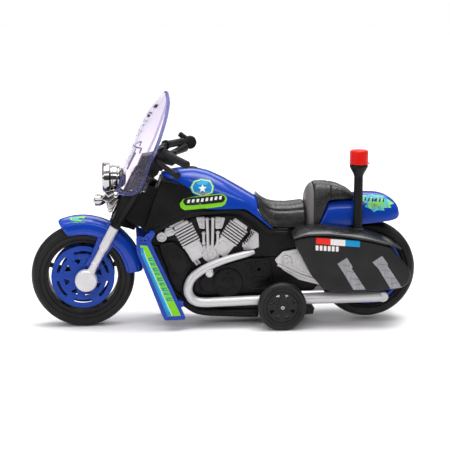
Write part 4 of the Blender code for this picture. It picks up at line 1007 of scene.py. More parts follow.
filt_outline = fillet([(41.6, 46.8), (49.5, 47.6), (54.0, 43.6), (59.2, 34.8), (57.2, 30.6), (54.4, 24.6), (53.6, 19.0),
                       (51.0, 19.8), (47.4, 26.0), (45.9, 33.0), (42.6, 41.0)], 1.2, 4)
filt = plate(filt_outline, -10.6, -8.35, 0.6)
cut(filt, tube([(x, -8.3, z) for x, z in curve2(LOWER, 4)], 2.7, 24))
parts = [filt]
# the drum of the cover with its ribs
parts.append(plate(fillet([(44.6, 45.4), (50.6, 45.8), (54.8, 40.6), (57.4, 34.6), (55.2, 30.0), (50.2, 29.6), (47.6, 33.4),
                           (44.6, 41.0)], 1.6, 4), -11.1, -10.2, 0.4))
for x in (46.0, 47.6, 49.2, 50.8, 52.4):
    top = 45.0 - max(0, x - 50.0) * 1.3
    parts.append(tube([(x, -11.0, top), (x + 0.15, -11.1, top - 2.4), (x + 0.4, -11.05, top - 4.6)], 0.36, 10))
parts.append(tube([(x, -10.9, z) for x, z in curve2([(47.4, 38.2), (51.0, 40.4), (55.0, 38.4)], 6)], 0.4, 10))
both(joined(*parts), "filter_cover_left", "filter_cover_right", "chassis", BLACK_MATT,
     ("front_cover_left", "front_cover_right"), 36)

# ================================================================ exhaust

PIPE_PTS = [(93.0, -12.5, 41.9), (88.5, -13.6, 41.0), (85.0, -14.0, 40.3), (76.8, -14.2, 38.0), (68.0, -14.2, 34.6),
            (60.8, -14.2, 30.0), (57.7, -14.2, 26.0), (56.8, -14.2, 21.6), (58.2, -14.2, 17.6), (61.4, -14.2, 15.3),
            (66.4, -14.2, 14.6), (74.0, -14.2, 14.8), (93.2, -14.2, 15.3), (102.0, -14.2, 15.6), (121.8, -14.2, 15.8),
            (146.0, -14.2, 16.1), (163.2, -14.2, 16.4)]
path = spline(PIPE_PTS, 8)
lengths = [0.0]
for a, b in zip(path, path[1:]):
    lengths.append(lengths[-1] + (b - a).length)
RAD = [(0, 1.1), (6, 1.8), (20, 2.0), (36, 2.35), (55, 2.6), (80, 2.6), (100, 2.7), (118, 3.15), (200, 3.3)]
pipe = tube(path, [smooth(RAD, s) for s in lengths], 36)
parts = [pipe]
boss = turned([(0, -16.3), (1.5, -16.3), (2.0, -15.9), (2.2, -15.3), (2.2, -13.2), (0, -13.2)], 32, (68.4, 0, 31.0), (0, 1, 0), 0.25)
lug = plate(fillet([(66.0, 32.6), (70.4, 33.6), (70.4, 31.0), (66.6, 30.4)], 0.6, 3), -15.2, -13.6, 0.3)
end = turned([(0, -16.7), (1.7, -16.7), (1.9, -16.95), (2.5, -16.95), (2.95, -16.4), (2.95, -11.8), (0, -11.8)], 48, (163.6, 0, 16.4),
             (0, 1, 0), 0.25)
parts += [boss, lug, end]
for x, r in ((99.2, 2.95), (128.6, 3.42)):
    parts.append(turned([(2.2, -0.45), (r, -0.45), (r, 0.45), (2.2, 0.45)], 48, (x, -14.2, value([(93, 15.3), (102, 15.6), (146, 16.1)], x)),
                        (1, 0, 0.004), 0.12))
pipe = joined(*parts)
cut(pipe, rod((107.4, -20, 13.2), (107.4, -10, 13.2), 1.7, 32))
cut(pipe, box(105.7, 109.1, -20, -10, 9.8, 13.2))
both(pipe, "exhaust_pipe_left", "exhaust_pipe_right", "chassis", PIPE, ("exhaust_left", "exhaust_right"), 36)

# ================================================================ leg guards

outer = fillet([(29.0, 51.2), (30.2, 52.3), (35.4, 51.7), (36.4, 50.2), (46.9, 26.6), (55.2, 7.5), (54.6, 6.2), (44.0, 6.0),
                (42.8, 8.2), (29.4, 43.6)], 0.7, 4)
window = fillet([(30.6, 51.3), (34.8, 50.9), (35.0, 49.7), (30.7, 50.0)], 0.3, 3)
g = plate(outer, -18.4, -16.0, 0.3, holes=(window,))
face = fillet([(30.3, 48.6), (35.3, 48.2), (45.6, 26.4), (53.4, 8.2), (44.8, 8.0), (30.7, 43.8)], 0.5, 4)
parts = [g, plate(face, -19.2, -17.0, 0.3)]
parts.append(plate(fillet([(29.9, 51.8), (35.3, 51.3), (35.7, 50.2), (35.2, 49.2), (30.0, 49.5)], 0.3, 3), -18.9, -17.6, 0.2,
                   holes=(fillet([(30.8, 51.0), (34.6, 50.6), (34.7, 50.0), (30.9, 50.3)], 0.2, 3),)))
parts.append(plate(fillet([(32.5, 49.6), (34.4, 52.8), (37.6, 55.6), (39.4, 54.0), (36.6, 48.9)], 0.6, 3), -17.4, -16.0, 0.3))
parts.append(rod((37.3, -17.0, 53.8), (37.3, -12.75, 53.8), 1.3, 24, b=0.2))
parts.append(plate(fillet([(48.6, 13.2), (50.2, 16.6), (54.0, 16.2), (54.2, 13.0)], 0.6, 3), -17.4, -16.0, 0.3))
parts.append(rod((52.3, -17.0, 14.8), (52.3, -11.0, 14.8), 1.3, 24, b=0.2))
both(joined(*parts), "guard_left", "guard_right", "chassis", BLUE, ("leg_guard_left", "leg_guard_right"), 36,
     tree=True)

# ================================================================ saddlebags, lids, beacon

EDGE = [(112.8, 51.2), (116.0, 52.0), (121.6, 52.9), (130.0, 53.0), (137.8, 52.3), (146.0, 51.0), (154.1, 49.5),
        (160.0, 48.1), (166.7, 46.4), (171.4, 44.6)]
bag_outline = [(113.4, 50.5)] + [(x, z - 0.7) for x, z in EDGE[1:-2]] + [(166.4, 45.4), (176.6, 32.6), (177.1, 29.2),
               (175.6, 25.4), (173.0, 23.4), (168.4, 22.2), (146.6, 21.0), (134.0, 21.4), (128.6, 23.8), (123.0, 30.6),
               (116.3, 43.2), (113.6, 48.4)]
bag_fine = fillet(bag_outline, 3.0, 5)


def shrink(outline, k):
    return [(146.0 + (x - 146.0) * (1 - k / 31.0), 36.5 + (z - 36.5) * (1 - k / 15.0)) for x, z in outline]


stops = [(-11.6, 0.5), (-11.75, 0.2), (-12.2, 0.0), (-22.7, 0.0), (-23.1, 0.03), (-23.5, 0.13), (-23.85, 0.30), (-24.1, 0.55),
         (-24.25, 0.85), (-24.3, 1.2)]
bag = loft([[(x, y, z) for x, z in shrink(bag_fine, k)] for y, k in stops])
bosses = [rod((126.0, -12.4, 33.0), (126.0, -10.35, 33.0), 2.0, 24, b=0.2),
          rod((154.0, -12.4, 31.0), (154.0, -10.35, 31.0), 2.0, 24, b=0.2)]
both(joined(bag, *bosses), "pannier_left", "pannier_right", "chassis", BLACK_BAG,
     ("saddlebag_left", "saddlebag_right"), 36, tree=True)

CROWN = [(112.8, 1.6), (116.0, 2.9), (125.0, 3.4), (137.8, 3.4), (150.0, 3.6), (158.0, 3.2), (165.0, 2.3), (171.4, 0.4)]
stations = ramp(112.8, 171.4, 72)
lid_rings = []
sides = [(-11.6, 0.97, 0.05), (-11.8, 1.0, 0.0), (-14.0, 0.99, 0.0), (-16.0, 0.95, 0.0), (-18.0, 0.87, 0.0), (-20.0, 0.73, 0.0),
         (-21.5, 0.58, 0.0), (-22.6, 0.44, 0.0), (-23.4, 0.32, 0.0), (-24.0, 0.20, 0.0), (-24.4, 0.08, 0.02), (-24.62, 0.0, 0.16)]
for y, f, g in sides:
    lowz = [(x, y, smooth(EDGE, x) - 0.35 + g) for x in stations]
    high = [(x, y, smooth(EDGE, x) + 0.35 - g + smooth(CROWN, x) * f) for x in reversed(stations)]
    lid_rings.append(lowz + high)
lid = loft(lid_rings)
lid_right = twin(lid)
POST = (149.0, -14.4)
cut(lid, rod((POST[0], POST[1], 40.0), (POST[0], POST[1], 60.0), 2.85, 48))
collar = turned([(2.75, 54.0), (3.3, 54.0), (3.3, 54.9), (2.75, 54.9)], 48, (POST[0], POST[1], 0), (0, 0, 1), 0.15)
piece(joined(lid, collar), "pannier_lid_left", "chassis", BLACK_LID, ("bag_lid_left",), 42, tree=True)
piece(lid_right, "pannier_lid_right", "chassis", BLACK_LID, ("bag_lid_right",), 42, tree=True)

post = turned([(0, 50.3), (2.5, 50.3), (2.4, 83.0), (2.75, 84.2), (4.9, 88.2), (4.9, 89.4), (3.4, 89.4), (3.4, 87.6), (0, 87.6)],
              48, (POST[0], POST[1], 0), (0, 0, 1), 0.35)
seam = plate([(POST[0] - 0.18, 54.0), (POST[0] + 0.18, 54.0), (POST[0] + 0.18, 83.0), (POST[0] - 0.18, 83.0)], POST[1] - 2.52,
             POST[1] - 2.3, 0.06)
piece(joined(post, seam), "beacon_stalk", "chassis", BLACK_MATT, ("beacon_post",), 40)
dome = turned([(0, 97.2), (4.35, 97.2), (4.9, 96.6), (4.95, 89.7), (3.9, 89.7), (3.9, 95.9), (0, 95.9)], 64, (POST[0], POST[1], 0),
              (0, 0, 1), 0.35)
lip = turned([(4.3, 89.72), (5.05, 89.72), (5.05, 90.35), (4.3, 90.35)], 64, (POST[0], POST[1], 0), (0, 0, 1), 0.15)
nub = plate(fillet([(153.2, 90.3), (154.0, 90.7), (155.1, 89.8), (153.8, 89.75)], 0.2, 3), POST[1] - 0.7, POST[1] + 0.7, 0.2)
piece(joined(dome, lip, nub), "beacon_lens_cap", "chassis", RED, ("beacon_cap",), 40)

# ================================================================ swing plates, step

swing = plate(fillet([(104.2, 36.6), (108.9, 41.2), (116.5, 42.6), (126.0, 38.6), (150.0, 34.2), (160.2, 33.4), (161.6, 29.5),
                      (160.0, 25.8), (150.0, 24.6), (132.0, 21.4), (118.0, 25.2), (108.9, 31.0)], 1.6, 4), -10.05, -8.75, 0.3)
cut(swing, prism([(99.0, 38.0), (99.0, 7.0), (103.3, 7.0), (103.3, 38.0)], -12, -7))
cut(swing, rod((156.8, -12, 29.5), (156.8, -7, 29.5), 1.75, 32))
parts = [swing]
parts.append(turned([(0, -10.35), (1.2, -10.35), (1.4, -10.15), (2.1, -10.15), (2.3, -10.6), (3.0, -10.6), (3.2, -9.6), (0, -9.6)],
                    36, (110.6, 0, 36.2), (0, 1, 0), 0.15))
parts.append(plate(fillet([(105.6, 33.4), (118.0, 27.4), (132.6, 22.2), (133.4, 23.6), (118.6, 28.8), (106.4, 34.8)], 0.3, 3),
                   -10.7, -9.6, 0.25))
parts.append(plate(fillet([(113.6, 40.2), (117.4, 40.8), (123.6, 37.4), (126.6, 27.2), (120.0, 29.8), (114.2, 33.0)], 1.2, 4),
                   -10.3, -9.6, 0.25))
both(joined(*parts), "swing_arm_left", "swing_arm_right", "chassis", SWING,
     ("swing_plate_left", "swing_plate_right"), 36)
parts = [plate(fillet([(116.9, 11.6), (122.3, 12.0), (126.6, 9.6), (125.8, 6.2), (121.6, 5.9), (116.9, 6.6)], 0.7, 3), -12.0,
               12.0, 0.4)]
piece(joined(*parts), "belly_rest", "chassis", BLACK_MATT, ("belly_step",), 36)

web = plate(fillet([(98.0, 38.0), (127.4, 38.0), (128.0, 30.0), (129.2, 22.4), (126.0, 18.8), (112.0, 18.6), (98.0, 20.0)], 1.0, 4),
            -8.2, -7.2, 0.25)
both(web, "frame_tail_web_left", "frame_tail_web_right", "chassis", BLACK_MATT, None, 36)

# ================================================================ wheels

prof = [(18.9, -5.4), (19.6, -5.75), (20.2, -5.75), (20.4, -5.35), (21.0, -5.35), (21.2, -6.15), (22.9, -6.35), (23.1, -5.95),
        (23.6, -5.95), (23.8, -6.38), (25.6, -6.35), (26.4, -5.9), (27.2, -5.1), (27.75, -4.0), (28.0, -2.9), (27.7, -2.7), (27.7, -2.35),
        (28.1, -2.15), (28.2, -0.6), (27.9, -0.35)]
prof = prof + [(r, -y) for r, y in reversed(prof)]
tyre = turned(prof, 128, FW, (0, 1, 0), 0.14)
parts = [tyre]
hub = turned([(1.85, -4.4), (4.2, -4.4), (4.2, 4.4), (1.85, 4.4)], 48, FW, (0, 1, 0), 0.2)
parts.append(hub)
for i in range(5):
    a = math.radians(90 + 72 * i)
    c, s = math.cos(a), math.sin(a)
    pts = [(3.4, 1.5), (19.6, 1.1), (19.6, -1.1), (3.4, -1.5)]
    parts.append(plate([(FW[0] + r * c - w * s, FW[2] + r * s + w * c) for r, w in pts], -1.6, 1.6, 0.3))
piece(joined(*parts), "front_tyre_moulding", "front_wheel", TYRE, ("front_tyre",), 34)


def ring_pts(r, a0, a1, n, c=(FW[0], FW[2])):
    return [(c[0] + r * math.cos(a), c[1] + r * math.sin(a)) for a in ramp(a0, a1, n)]


outline = ring_pts(17.1, 0, 2 * math.pi * 95 / 96, 96)
holes = []
for i in range(6):
    a0, a1 = math.radians(60 * i + 9), math.radians(60 * i + 49)
    loop = ring_pts(12.9, a0, a1, 12) + ring_pts(14.4, a1, a0, 12)
    holes.append(fillet(loop, 0.35, 3))
for i in range(8):
    a = math.radians(45 * i + 15.8)
    w = math.radians(12.0)
    loop = [(FW[0] + r * math.cos(b), FW[2] + r * math.sin(b)) for r, b in ((7.3, a), (10.4, a + w), (10.4, a - w))]
    holes.append(fillet(loop, 0.35, 3))
disc = plate(outline, -6.55, -5.7, 0.2, holes=holes)
parts = [disc]
parts.append(turned([(16.3, -6.1), (16.3, -6.72), (17.15, -6.72), (17.15, -6.1)], 96, FW, (0, 1, 0), 0.12))
parts.append(turned([(10.9, -6.3), (10.9, -6.72), (12.3, -6.72), (12.3, -6.3)], 96, FW, (0, 1, 0), 0.12))
parts.append(turned([(1.85, -6.72), (6.8, -6.72), (6.8, -5.9), (6.0, -5.9), (6.0, -4.7), (1.85, -4.7)], 64, FW, (0, 1, 0), 0.15))
for i in range(8):
    a = math.radians(45 * i + 15.8 + 22.5)
    c, s = math.cos(a), math.sin(a)
    parts.append(plate(fillet([(FW[0] + r * c - w * s, FW[2] + r * s + w * c) for r, w in
                               ((6.6, 0.5), (11.2, 0.8), (11.2, -0.8), (6.6, -0.5))], 0.2, 2), -6.75, -6.3, 0.15))
both(joined(*parts), "brake_disc_left", "brake_disc_right", "front_wheel", BLUE_DISC,
     ("front_disc_left", "front_disc_right"), 34)

prof = [(19.6, -6.6), (20.6, -7.1), (20.9, -6.8), (21.3, -6.8), (21.6, -7.5), (22.4, -7.8), (24.4, -7.9), (25.2, -7.3), (26.0, -6.2),
        (26.5, -4.9), (26.75, -3.6), (26.4, -3.4), (26.4, -3.0), (26.85, -2.8), (27.0, -0.7), (26.6, -0.4)]
prof = prof + [(r, -y) for r, y in reversed(prof)]
piece(turned(prof, 128, RW, (0, 1, 0), 0.14), "rear_tyre_moulding", "rear_wheel", TYRE, ("rear_tyre",), 34)
rim = turned([(1.75, -8.2), (4.4, -8.2), (4.6, -2.0), (17.2, -2.0), (17.4, -6.6), (19.2, -6.6), (19.2, 6.6),
              (17.4, 6.6), (17.2, 2.0), (4.6, 2.0), (4.4, 8.2), (1.75, 8.2)], 96, RW, (0, 1, 0), 0.25)
for i in range(5):
    a = math.radians(90 + 72 * i)
    x, z = RW[0] + 11.8 * math.cos(a), RW[2] + 11.8 * math.sin(a)
    cut(rim, rod((x, -9, z), (x, 9, z), 3.6, 40))
piece(softened(rim, 0.15, 2), "rear_rim_moulding", "rear_wheel", BLUE_DISC, ("rear_rim",), 34)

# ================================================================ driven side wheels

prof = [(1.25, -22.9), (2.9, -22.9), (3.2, -22.3), (8.2, -22.3), (8.5, -22.0), (9.0, -22.0), (9.2, -22.85), (10.0, -22.85),
        (10.2, -22.5), (10.6, -22.5), (10.8, -22.9), (12.2, -22.9), (13.2, -21.8), (13.2, -18.8), (12.2, -17.8), (9.6, -17.8),
        (9.4, -20.6), (3.0, -20.6), (3.0, -17.8), (1.25, -17.8)]
side = turned(prof, 96, (GA[0], 0, GA[1]), (0, 1, 0), 0.22)
for i in range(8):
    a = math.radians(22.5 + 45 * i)
    w = math.radians(9.5)
    hole = [(GA[0] + r * math.cos(b), GA[1] + r * math.sin(b)) for r, b in
            ((4.9, a - w * 0.7), (4.9, a + w * 0.7), (7.2, a + w), (7.2, a - w))]
    cut(side, prism(fillet(hole, 0.2, 2), -24, -19))
both(side, "drive_wheel_left", "drive_wheel_right", "drive_wheels", BLACK_BAG,
     ("side_wheel_left", "side_wheel_right"), 34)
for s, nm in ((-1, "left"), (1, "right")):
    pin = turned([(0, 22.6), (0.95, 22.6), (0.95, 23.35), (0.5, 23.6), (0, 23.6)], 24, (GA[0], 0, GA[1]), (0, s, 0), 0.12)
    piece(pin, "axle_end_" + nm, "drive_wheels", STEEL)

# ================================================================ fork, front fender

parts = []
for sy in (-1, 1):
    y = 11.5 * sy
    prof = [(0, S_LOW), (2.75, S_LOW), (3.0, S_LOW + 3), (3.55, S_LOW + 12), (3.8, S_LOW + 16), (3.9, S_LOW + 24),
            (3.9, S_LOW + 31), (3.3, S_LOW + 32.6), (0, S_LOW + 32.6)]
    parts.append(turned(prof, 40, (LEG0.x, y, LEG0.z), D, 0.4))
    for s in (2.2, 26.8):
        r = value([(0, 2.9), (3, 3.0), (12, 3.55), (16, 3.8), (24, 3.9), (31, 3.9)], s)
        parts.append(turned([(2.0, S_LOW + s), (r + 0.28, S_LOW + s), (r + 0.28, S_LOW + s + 1.1), (2.0, S_LOW + s + 1.1)], 40,
                            (LEG0.x, y, LEG0.z), D, 0.18))
for s0, s1, rear_off, tip in ((-4.0, -0.5, 3.6, (1.0, 4.2, 2.4)), (NECK + 0.4, NECK + 3.4, 2.5, (0.5, 4.0, 1.8))):
    shape = [(-9.6, -11.5), (-9.6, 11.5), (-5.4, 11.5), (tip[0], tip[1]), (rear_off, tip[2]), (rear_off, -tip[2]),
             (tip[0], -tip[1]), (-5.4, -11.5)]
    shape = fillet(shape, 0.8, 3)
    parts.append(softened(loft([[stem(s, o, w) for o, w in shape] for s in (s0, s1)]), 0.3, 2))
parts.append(rod(stem(-2), stem(NECK + 2), 2.3, 40))
# the slab between the sleeves in front of the neck
shape = fillet([(-9.3, -9.4), (-9.3, 9.4), (-7.6, 9.4), (-7.6, -9.4)], 0.4, 3)
parts.append(softened(loft([[stem(s, o, w) for o, w in shape] for s in (0.0, NECK)]), 0.3, 2))
piece(joined(*parts), "fork_yoke", "front_fork", BLACK, ("fork_crown",), 36)

for sy, name in ((-1, "left"), (1, "right")):
    y = 11.5 * sy
    shaft = turned([(0, 3.1), (1.9, 3.1), (1.92, 9.4), (2.15, 9.8), (2.15, 10.7), (1.93, 11.1), (1.95, 19.0), (2.5, 20.4),
                    (2.55, 28.6), (2.6, S_LOW - 0.35), (0, S_LOW - 0.35)], 40, (LEG0.x, y, LEG0.z), D, 0.2)
    hubcap = turned([(0, 13.75), (4.6, 13.7), (5.3, 13.5), (5.8, 13.0), (6.0, 12.3), (6.0, 9.2), (0, 9.2)], 64,
                    (LEG0.x, 0, LEG0.z), (0, sy, 0), 0.35)
    web = loft([[tuple(leg(s, y + w, o)) for o, w in fillet([(-2.6, -1.5), (2.6, -1.5), (2.2, 1.5), (-2.2, 1.5)], 0.6, 3)]
                for s in (1.0, 4.0)] + [[tuple(leg(8.4, y + w * 0.8, o * 0.72)) for o, w in
                                         fillet([(-2.6, -1.5), (2.6, -1.5), (2.2, 1.5), (-2.2, 1.5)], 0.6, 3)]])
    piece(joined(shaft, hubcap, web), "fork_tube_" + name, "front_fork", PALE, ("fork_leg_" + name,), 36)

fend = []
prof = []
m = 64
A0, A1 = 118.5, 4.5
section = [(23.8, -8.6), (26.5, -8.6), (28.3, -8.55), (29.6, -8.35), (30.7, -7.85), (31.6, -6.95), (32.2, -5.8), (32.7, -4.2),
           (33.0, -2.2), (33.1, 0), (33.0, 2.2), (32.7, 4.2), (32.2, 5.8), (31.6, 6.95), (30.7, 7.85), (29.6, 8.35),
           (28.3, 8.55), (26.5, 8.6), (23.8, 8.6), (23.8, 7.4), (28.3, 7.4), (29.4, 7.0), (30.3, 6.0), (31.0, 4.4), (31.4, 2.4),
           (31.5, 0), (31.4, -2.4), (31.0, -4.4), (30.3, -6.0), (29.4, -7.0), (28.3, -7.4), (23.8, -7.4)]
for i in range(m):
    q = i / (m - 1)
    e = min(q, 1 - q)
    cap_in = max(0.0, 1 - e / 0.035)
    lift = 1.5 * cap_in
    roll = 0.35 * (1 - math.sqrt(max(0.0, 1 - max(0.0, 1 - e / 0.008) ** 2)))
    ring = []
    for r, y in section:
        rr = max(r, 23.8 + lift)
        if r > 29.0 or abs(y) > 8.0:
            rr = rr - roll
        a = math.radians(5.0 + 103.5 * (1 - q) + 4.6 * (r - 24.6) / 8.5 * (1 - q))
        ring.append((FW[0] + rr * math.cos(a), y * (1 - roll / 12), FW[2] + rr * math.sin(a)))
    fend.append(ring)
parts = [loft(fend)]
# rolled lower lip, both sides
for sy in (-1, 1):
    lip = []
    for k in range(50):
        a = math.radians(107.2 - (107.2 - 6.5) * k / 49)
        lip.append((FW[0] + 24.7 * math.cos(a), 8.45 * sy, FW[2] + 24.7 * math.sin(a)))
    parts.append(tube(lip, 0.55, 12))
    parts.append(plate(fillet([(8.8, 51.4), (4.4, 40.0), (1.2, 35.2), (6.6, 32.2), (9.6, 36.6), (17.4, 46.2), (14.0, 50.0)], 0.8, 3),
                       min(7.5 * sy, 8.55 * sy), max(7.5 * sy, 8.55 * sy), 0.3))
bridge = loft([[leg(s, w, o) for o, w in ((-3.0, -7.0), (-3.0, 7.0), (3.0, 7.0), (3.0, -7.0))] for s in (30.6, 33.6)])
cut(bridge, lathe([(0, -12), (29.2, -12), (29.2, 12), (0, 12)], 96, FW))
parts.append(bridge)
piece(joined(*parts), "wheel_fender_front", "front_fork", BLUE, ("front_fender",), 36, tree=True)

# ================================================================ lamps

HL = (13.6, 0.0, 81.9)
parts = [turned([(0, 10.6), (3.4, 10.3), (5.2, 8.6), (6.6, 5.4), (7.0, 3.4), (6.5, 3.0), (6.6, 2.4), (7.5, 2.3), (8.2, 1.5), (8.4, 0.2),
                 (8.25, -1.2), (7.7, -2.1), (7.1, -2.3), (6.9, -1.8), (7.1, -1.0), (6.7, 0.2), (6.3, 1.2), (5.4, 4.6), (4.0, 8.0),
                 (0, 9.6)], 72, HL, (1, 0, 0), 0.2)]
parts.append(turned([(5.6, 6.4), (6.5, 6.2), (6.55, 6.9), (5.6, 7.3)], 64, HL, (1, 0, 0), 0.12))
for k in range(3):
    a = math.radians(30 + 120 * k)
    parts.append(turned([(0, -1.75), (0.5, -1.7), (0.55, -1.0), (0, -1.0)], 14,
                        (HL[0], 7.75 * math.sin(a), HL[2] + 7.75 * math.cos(a)), (1, 0, 0), 0.1))
bracket = plate(fillet([(16.4, 75.6), (21.0, 76.6), (22.8, 74.0), (20.2, 70.0), (18.6, 67.4), (16.4, 63.4), (14.6, 62.4),
                        (13.6, 66.0), (12.6, 69.0), (10.0, 70.0), (13.0, 73.0)], 0.8, 4), -2.6, 2.6, 0.6)
parts.append(bracket)
parts.append(plate(fillet([(14.0, 68.6), (19.0, 72.6), (20.6, 70.8), (17.4, 65.8), (14.8, 64.2)], 0.6, 3), -3.6, 3.6, 0.5))
parts.append(plate(fillet([(12.2, 74.6), (18.0, 76.2), (20.6, 74.6), (14.4, 71.2)], 0.5, 3), -4.4, 4.4, 0.5))
parts.append(rod((20.0, -6.8, 73.0), (20.0, 6.8, 73.0), 1.2, 24, b=0.3))
for sy in (-1, 1):
    parts.append(turned([(0, 2.6), (1.2, 2.3), (1.9, 1.5), (2.2, 0.4), (2.2, -1.0), (1.9, -1.4), (1.5, -1.0), (0, -0.8)], 32,
                        (18.9, 6.6 * sy, 73.0), (1, 0, 0), 0.12))
spot = turned([(0, 4.6), (1.4, 4.3), (2.2, 3.6), (2.8, 2.4), (3.0, 1.6), (3.15, -0.6), (3.15, -1.4), (2.6, -1.4), (2.45, -0.6),
               (0, -0.5)], 48, (8.6, 0, 69.4), (1, 0, 0), 0.12)
parts.append(spot)
for k in range(12):
    a = 2 * math.pi * k / 12
    parts.append(rod((8.0, 3.1 * math.cos(a), 69.4 + 3.1 * math.sin(a)), (10.2, 2.95 * math.cos(a), 69.4 + 2.95 * math.sin(a)), 0.28, 8,
                     b=0.1))
piece(joined(*parts), "lamp_cluster", "front_fork", CHROME, ("headlight_shell",), 34)
lens_prof = [(0, -1.9), (1.8, -1.85), (3.6, -1.6), (5.2, -1.2), (6.4, -0.75), (6.5, -0.2), (6.4, 0.0), (5.0, -0.35), (3.6, -0.8), (0, -1.1)]
lens = [lathe(lens_prof, 64, HL, (1, 0, 0))]
for k in range(-4, 5):
    y = k * 1.25
    h = math.sqrt(max(0.0, 6.0 ** 2 - y * y))
    lens.append(tube([(HL[0] - 1.9 + 0.85 * ((y * y + (h * q) ** 2) / 41.0), y, HL[2] + h * q) for q in ramp(-1, 1, 11)], 0.16, 8))
piece(joined(*lens), "headlamp_glass", "front_fork", LENS, ("headlight_lens",), 40)
glass = [lathe([(0, -2.4), (0.8, -2.35), (1.4, -2.15), (2.15, -1.4), (2.2, -1.1), (2.15, -0.9), (0, -0.9)], 40, (8.6, 0, 69.4), (1, 0, 0))]
piece(joined(*glass), "spot_glass", "front_fork", LENS, ("spot_lens",), 40)

# ================================================================ windshield

XC = [(74.6, 16.9), (86.0, 21.9), (96.6, 26.6), (107.4, 31.0), (116.6, 36.0), (121.9, 40.2), (126.1, 44.0), (128.3, 45.6)]
XE = [(74.6, 29.4), (81.0, 32.4), (94.0, 37.0), (99.0, 39.4), (109.6, 43.4), (119.0, 46.2), (123.7, 47.0), (128.3, 46.2)]
WH = [(74.6, 20.6), (80.0, 22.0), (88.0, 23.6), (96.0, 24.0), (104.0, 22.9), (110.0, 20.6), (116.0, 16.6), (121.0, 11.6),
      (125.0, 6.6), (127.4, 2.6), (128.3, 0.8)]


def shield_point(z, u, back):
    xc, xe, w = smooth(XC, z), smooth(XE, z), smooth(WH, z)
    slope = (smooth(XC, min(z + 2, 128.3)) - smooth(XC, max(z - 2, 74.6))) / 4.0
    x = xc + (xe - xc) * abs(u) ** 2.8
    gy = -2.8 * (xe - xc) * math.copysign(abs(u) ** 1.8, u) / max(w, 3.0)
    nrm = Vector((1.0, gy * 0.8, -slope)).normalized() * back
    return (x + nrm.x, u * w + nrm.y, z + nrm.z)


def trim(z, u):
    """True inside the cut-out over the lamp."""
    y = u * smooth(WH, z)
    return abs(y) < 9.3 and z < 90.6


zs = ramp(74.8, 120.0, 52) + ramp(121.0, 128.25, 14)
us = ramp(-1, 1, 45)
rows = []
for z in zs:
    front = [shield_point(z, u, 0.0) for u in us]
    rear_row = [shield_point(z, u, 1.05) for u in reversed(us)]
    e0, e1 = Vector(shield_point(z, 1, -0.0)), Vector(shield_point(z, 1, 1.05))
    rows.append(front + rear_row)
shield = loft(rows)
corner = []
# round the two lower corners and the notch
for sy in (-1, 1):
    pts = [(16.0, 70.0), (24.0, 70.0), (24.0, 79.5), (21.9, 79.5), (21.2, 77.6), (19.8, 76.0), (17.6, 75.1), (16.0, 74.9)]
    tool = prism(pts, 0, 1)
    for v in tool.data.vertices:
        x, y, z = v.co
        v.co = (60.0 * y, x * sy, z)
    bm = bmesh.new()
    bm.from_mesh(tool.data)
    bmesh.ops.recalc_face_normals(bm, faces=bm.faces)
    bm.to_mesh(tool.data)
    bm.free()
    cut(shield, tool)
notch = []
for k in range(25):
    a = math.pi * k / 24
    notch.append((-9.3 * math.cos(a), 84.6 + 6.0 * math.sin(a)))
notch = [(-9.3, 60.0)] + notch + [(9.3, 60.0)]
tool = prism(notch, 0, 1)
for v in tool.data.vertices:
    x, y, z = v.co
    v.co = (60.0 * y, x, z)
bm = bmesh.new()
bm.from_mesh(tool.data)
bmesh.ops.recalc_face_normals(bm, faces=bm.faces)
bm.to_mesh(tool.data)
bm.free()
cut(shield, tool)
for sy in (-1, 1):
    clip = plate(fillet([(24.6, 77.2), (34.2, 76.2), (37.8, 83.0), (37.8, 84.8), (27.0, 84.8)], 0.8, 3),
                 min(15.8 * sy, 17.0 * sy), max(15.8 * sy, 17.0 * sy), 0.3)
    shield = joined(shield, clip)
piece(shield, "windscreen", "front_fork", GLASS, ("windshield",), 34)

# thick moulded border along the outline of the screen; the near border is coloured dark blue and the far one paler,
# painted shade on one clear moulding
edge_r, edge_l = [], []
for z in ramp(79.6, 127.6, 60):
    p = Vector(shield_point(z, 1, 0.5))
    edge_r.append((p.x, p.y, p.z))
for sy, nm in ((-1, "left"), (1, "right")):
    path = [(p[0] - 0.1, abs(p[1]) * sy * 0.992, p[2]) for p in edge_r]
    low = []
    for y, z in ((21.2, 78.4), (20.4, 76.9), (19.2, 75.9), (17.4, 75.4), (15.0, 75.3), (12.4, 75.6), (10.6, 76.6), (9.9, 78.6),
                 (9.9, 84.0)):
        w = smooth(WH, z)
        p = shield_point(z, min(1.0, y / w), 0.5)
        low.append((p[0], p[1] * sy, p[2]))
    low.reverse()
    whole = low + path
    n = len(whole)
    piece(tube(spline(whole[::2] if n % 2 else whole[::2] + [whole[-1]], 2), 0.95 if sy < 0 else 0.75, 14),
          "windscreen_edge_" + nm, "front_fork", GLASS_EDGE_SHADED if sy < 0 else GLASS_FAR_EDGE_SHADED)
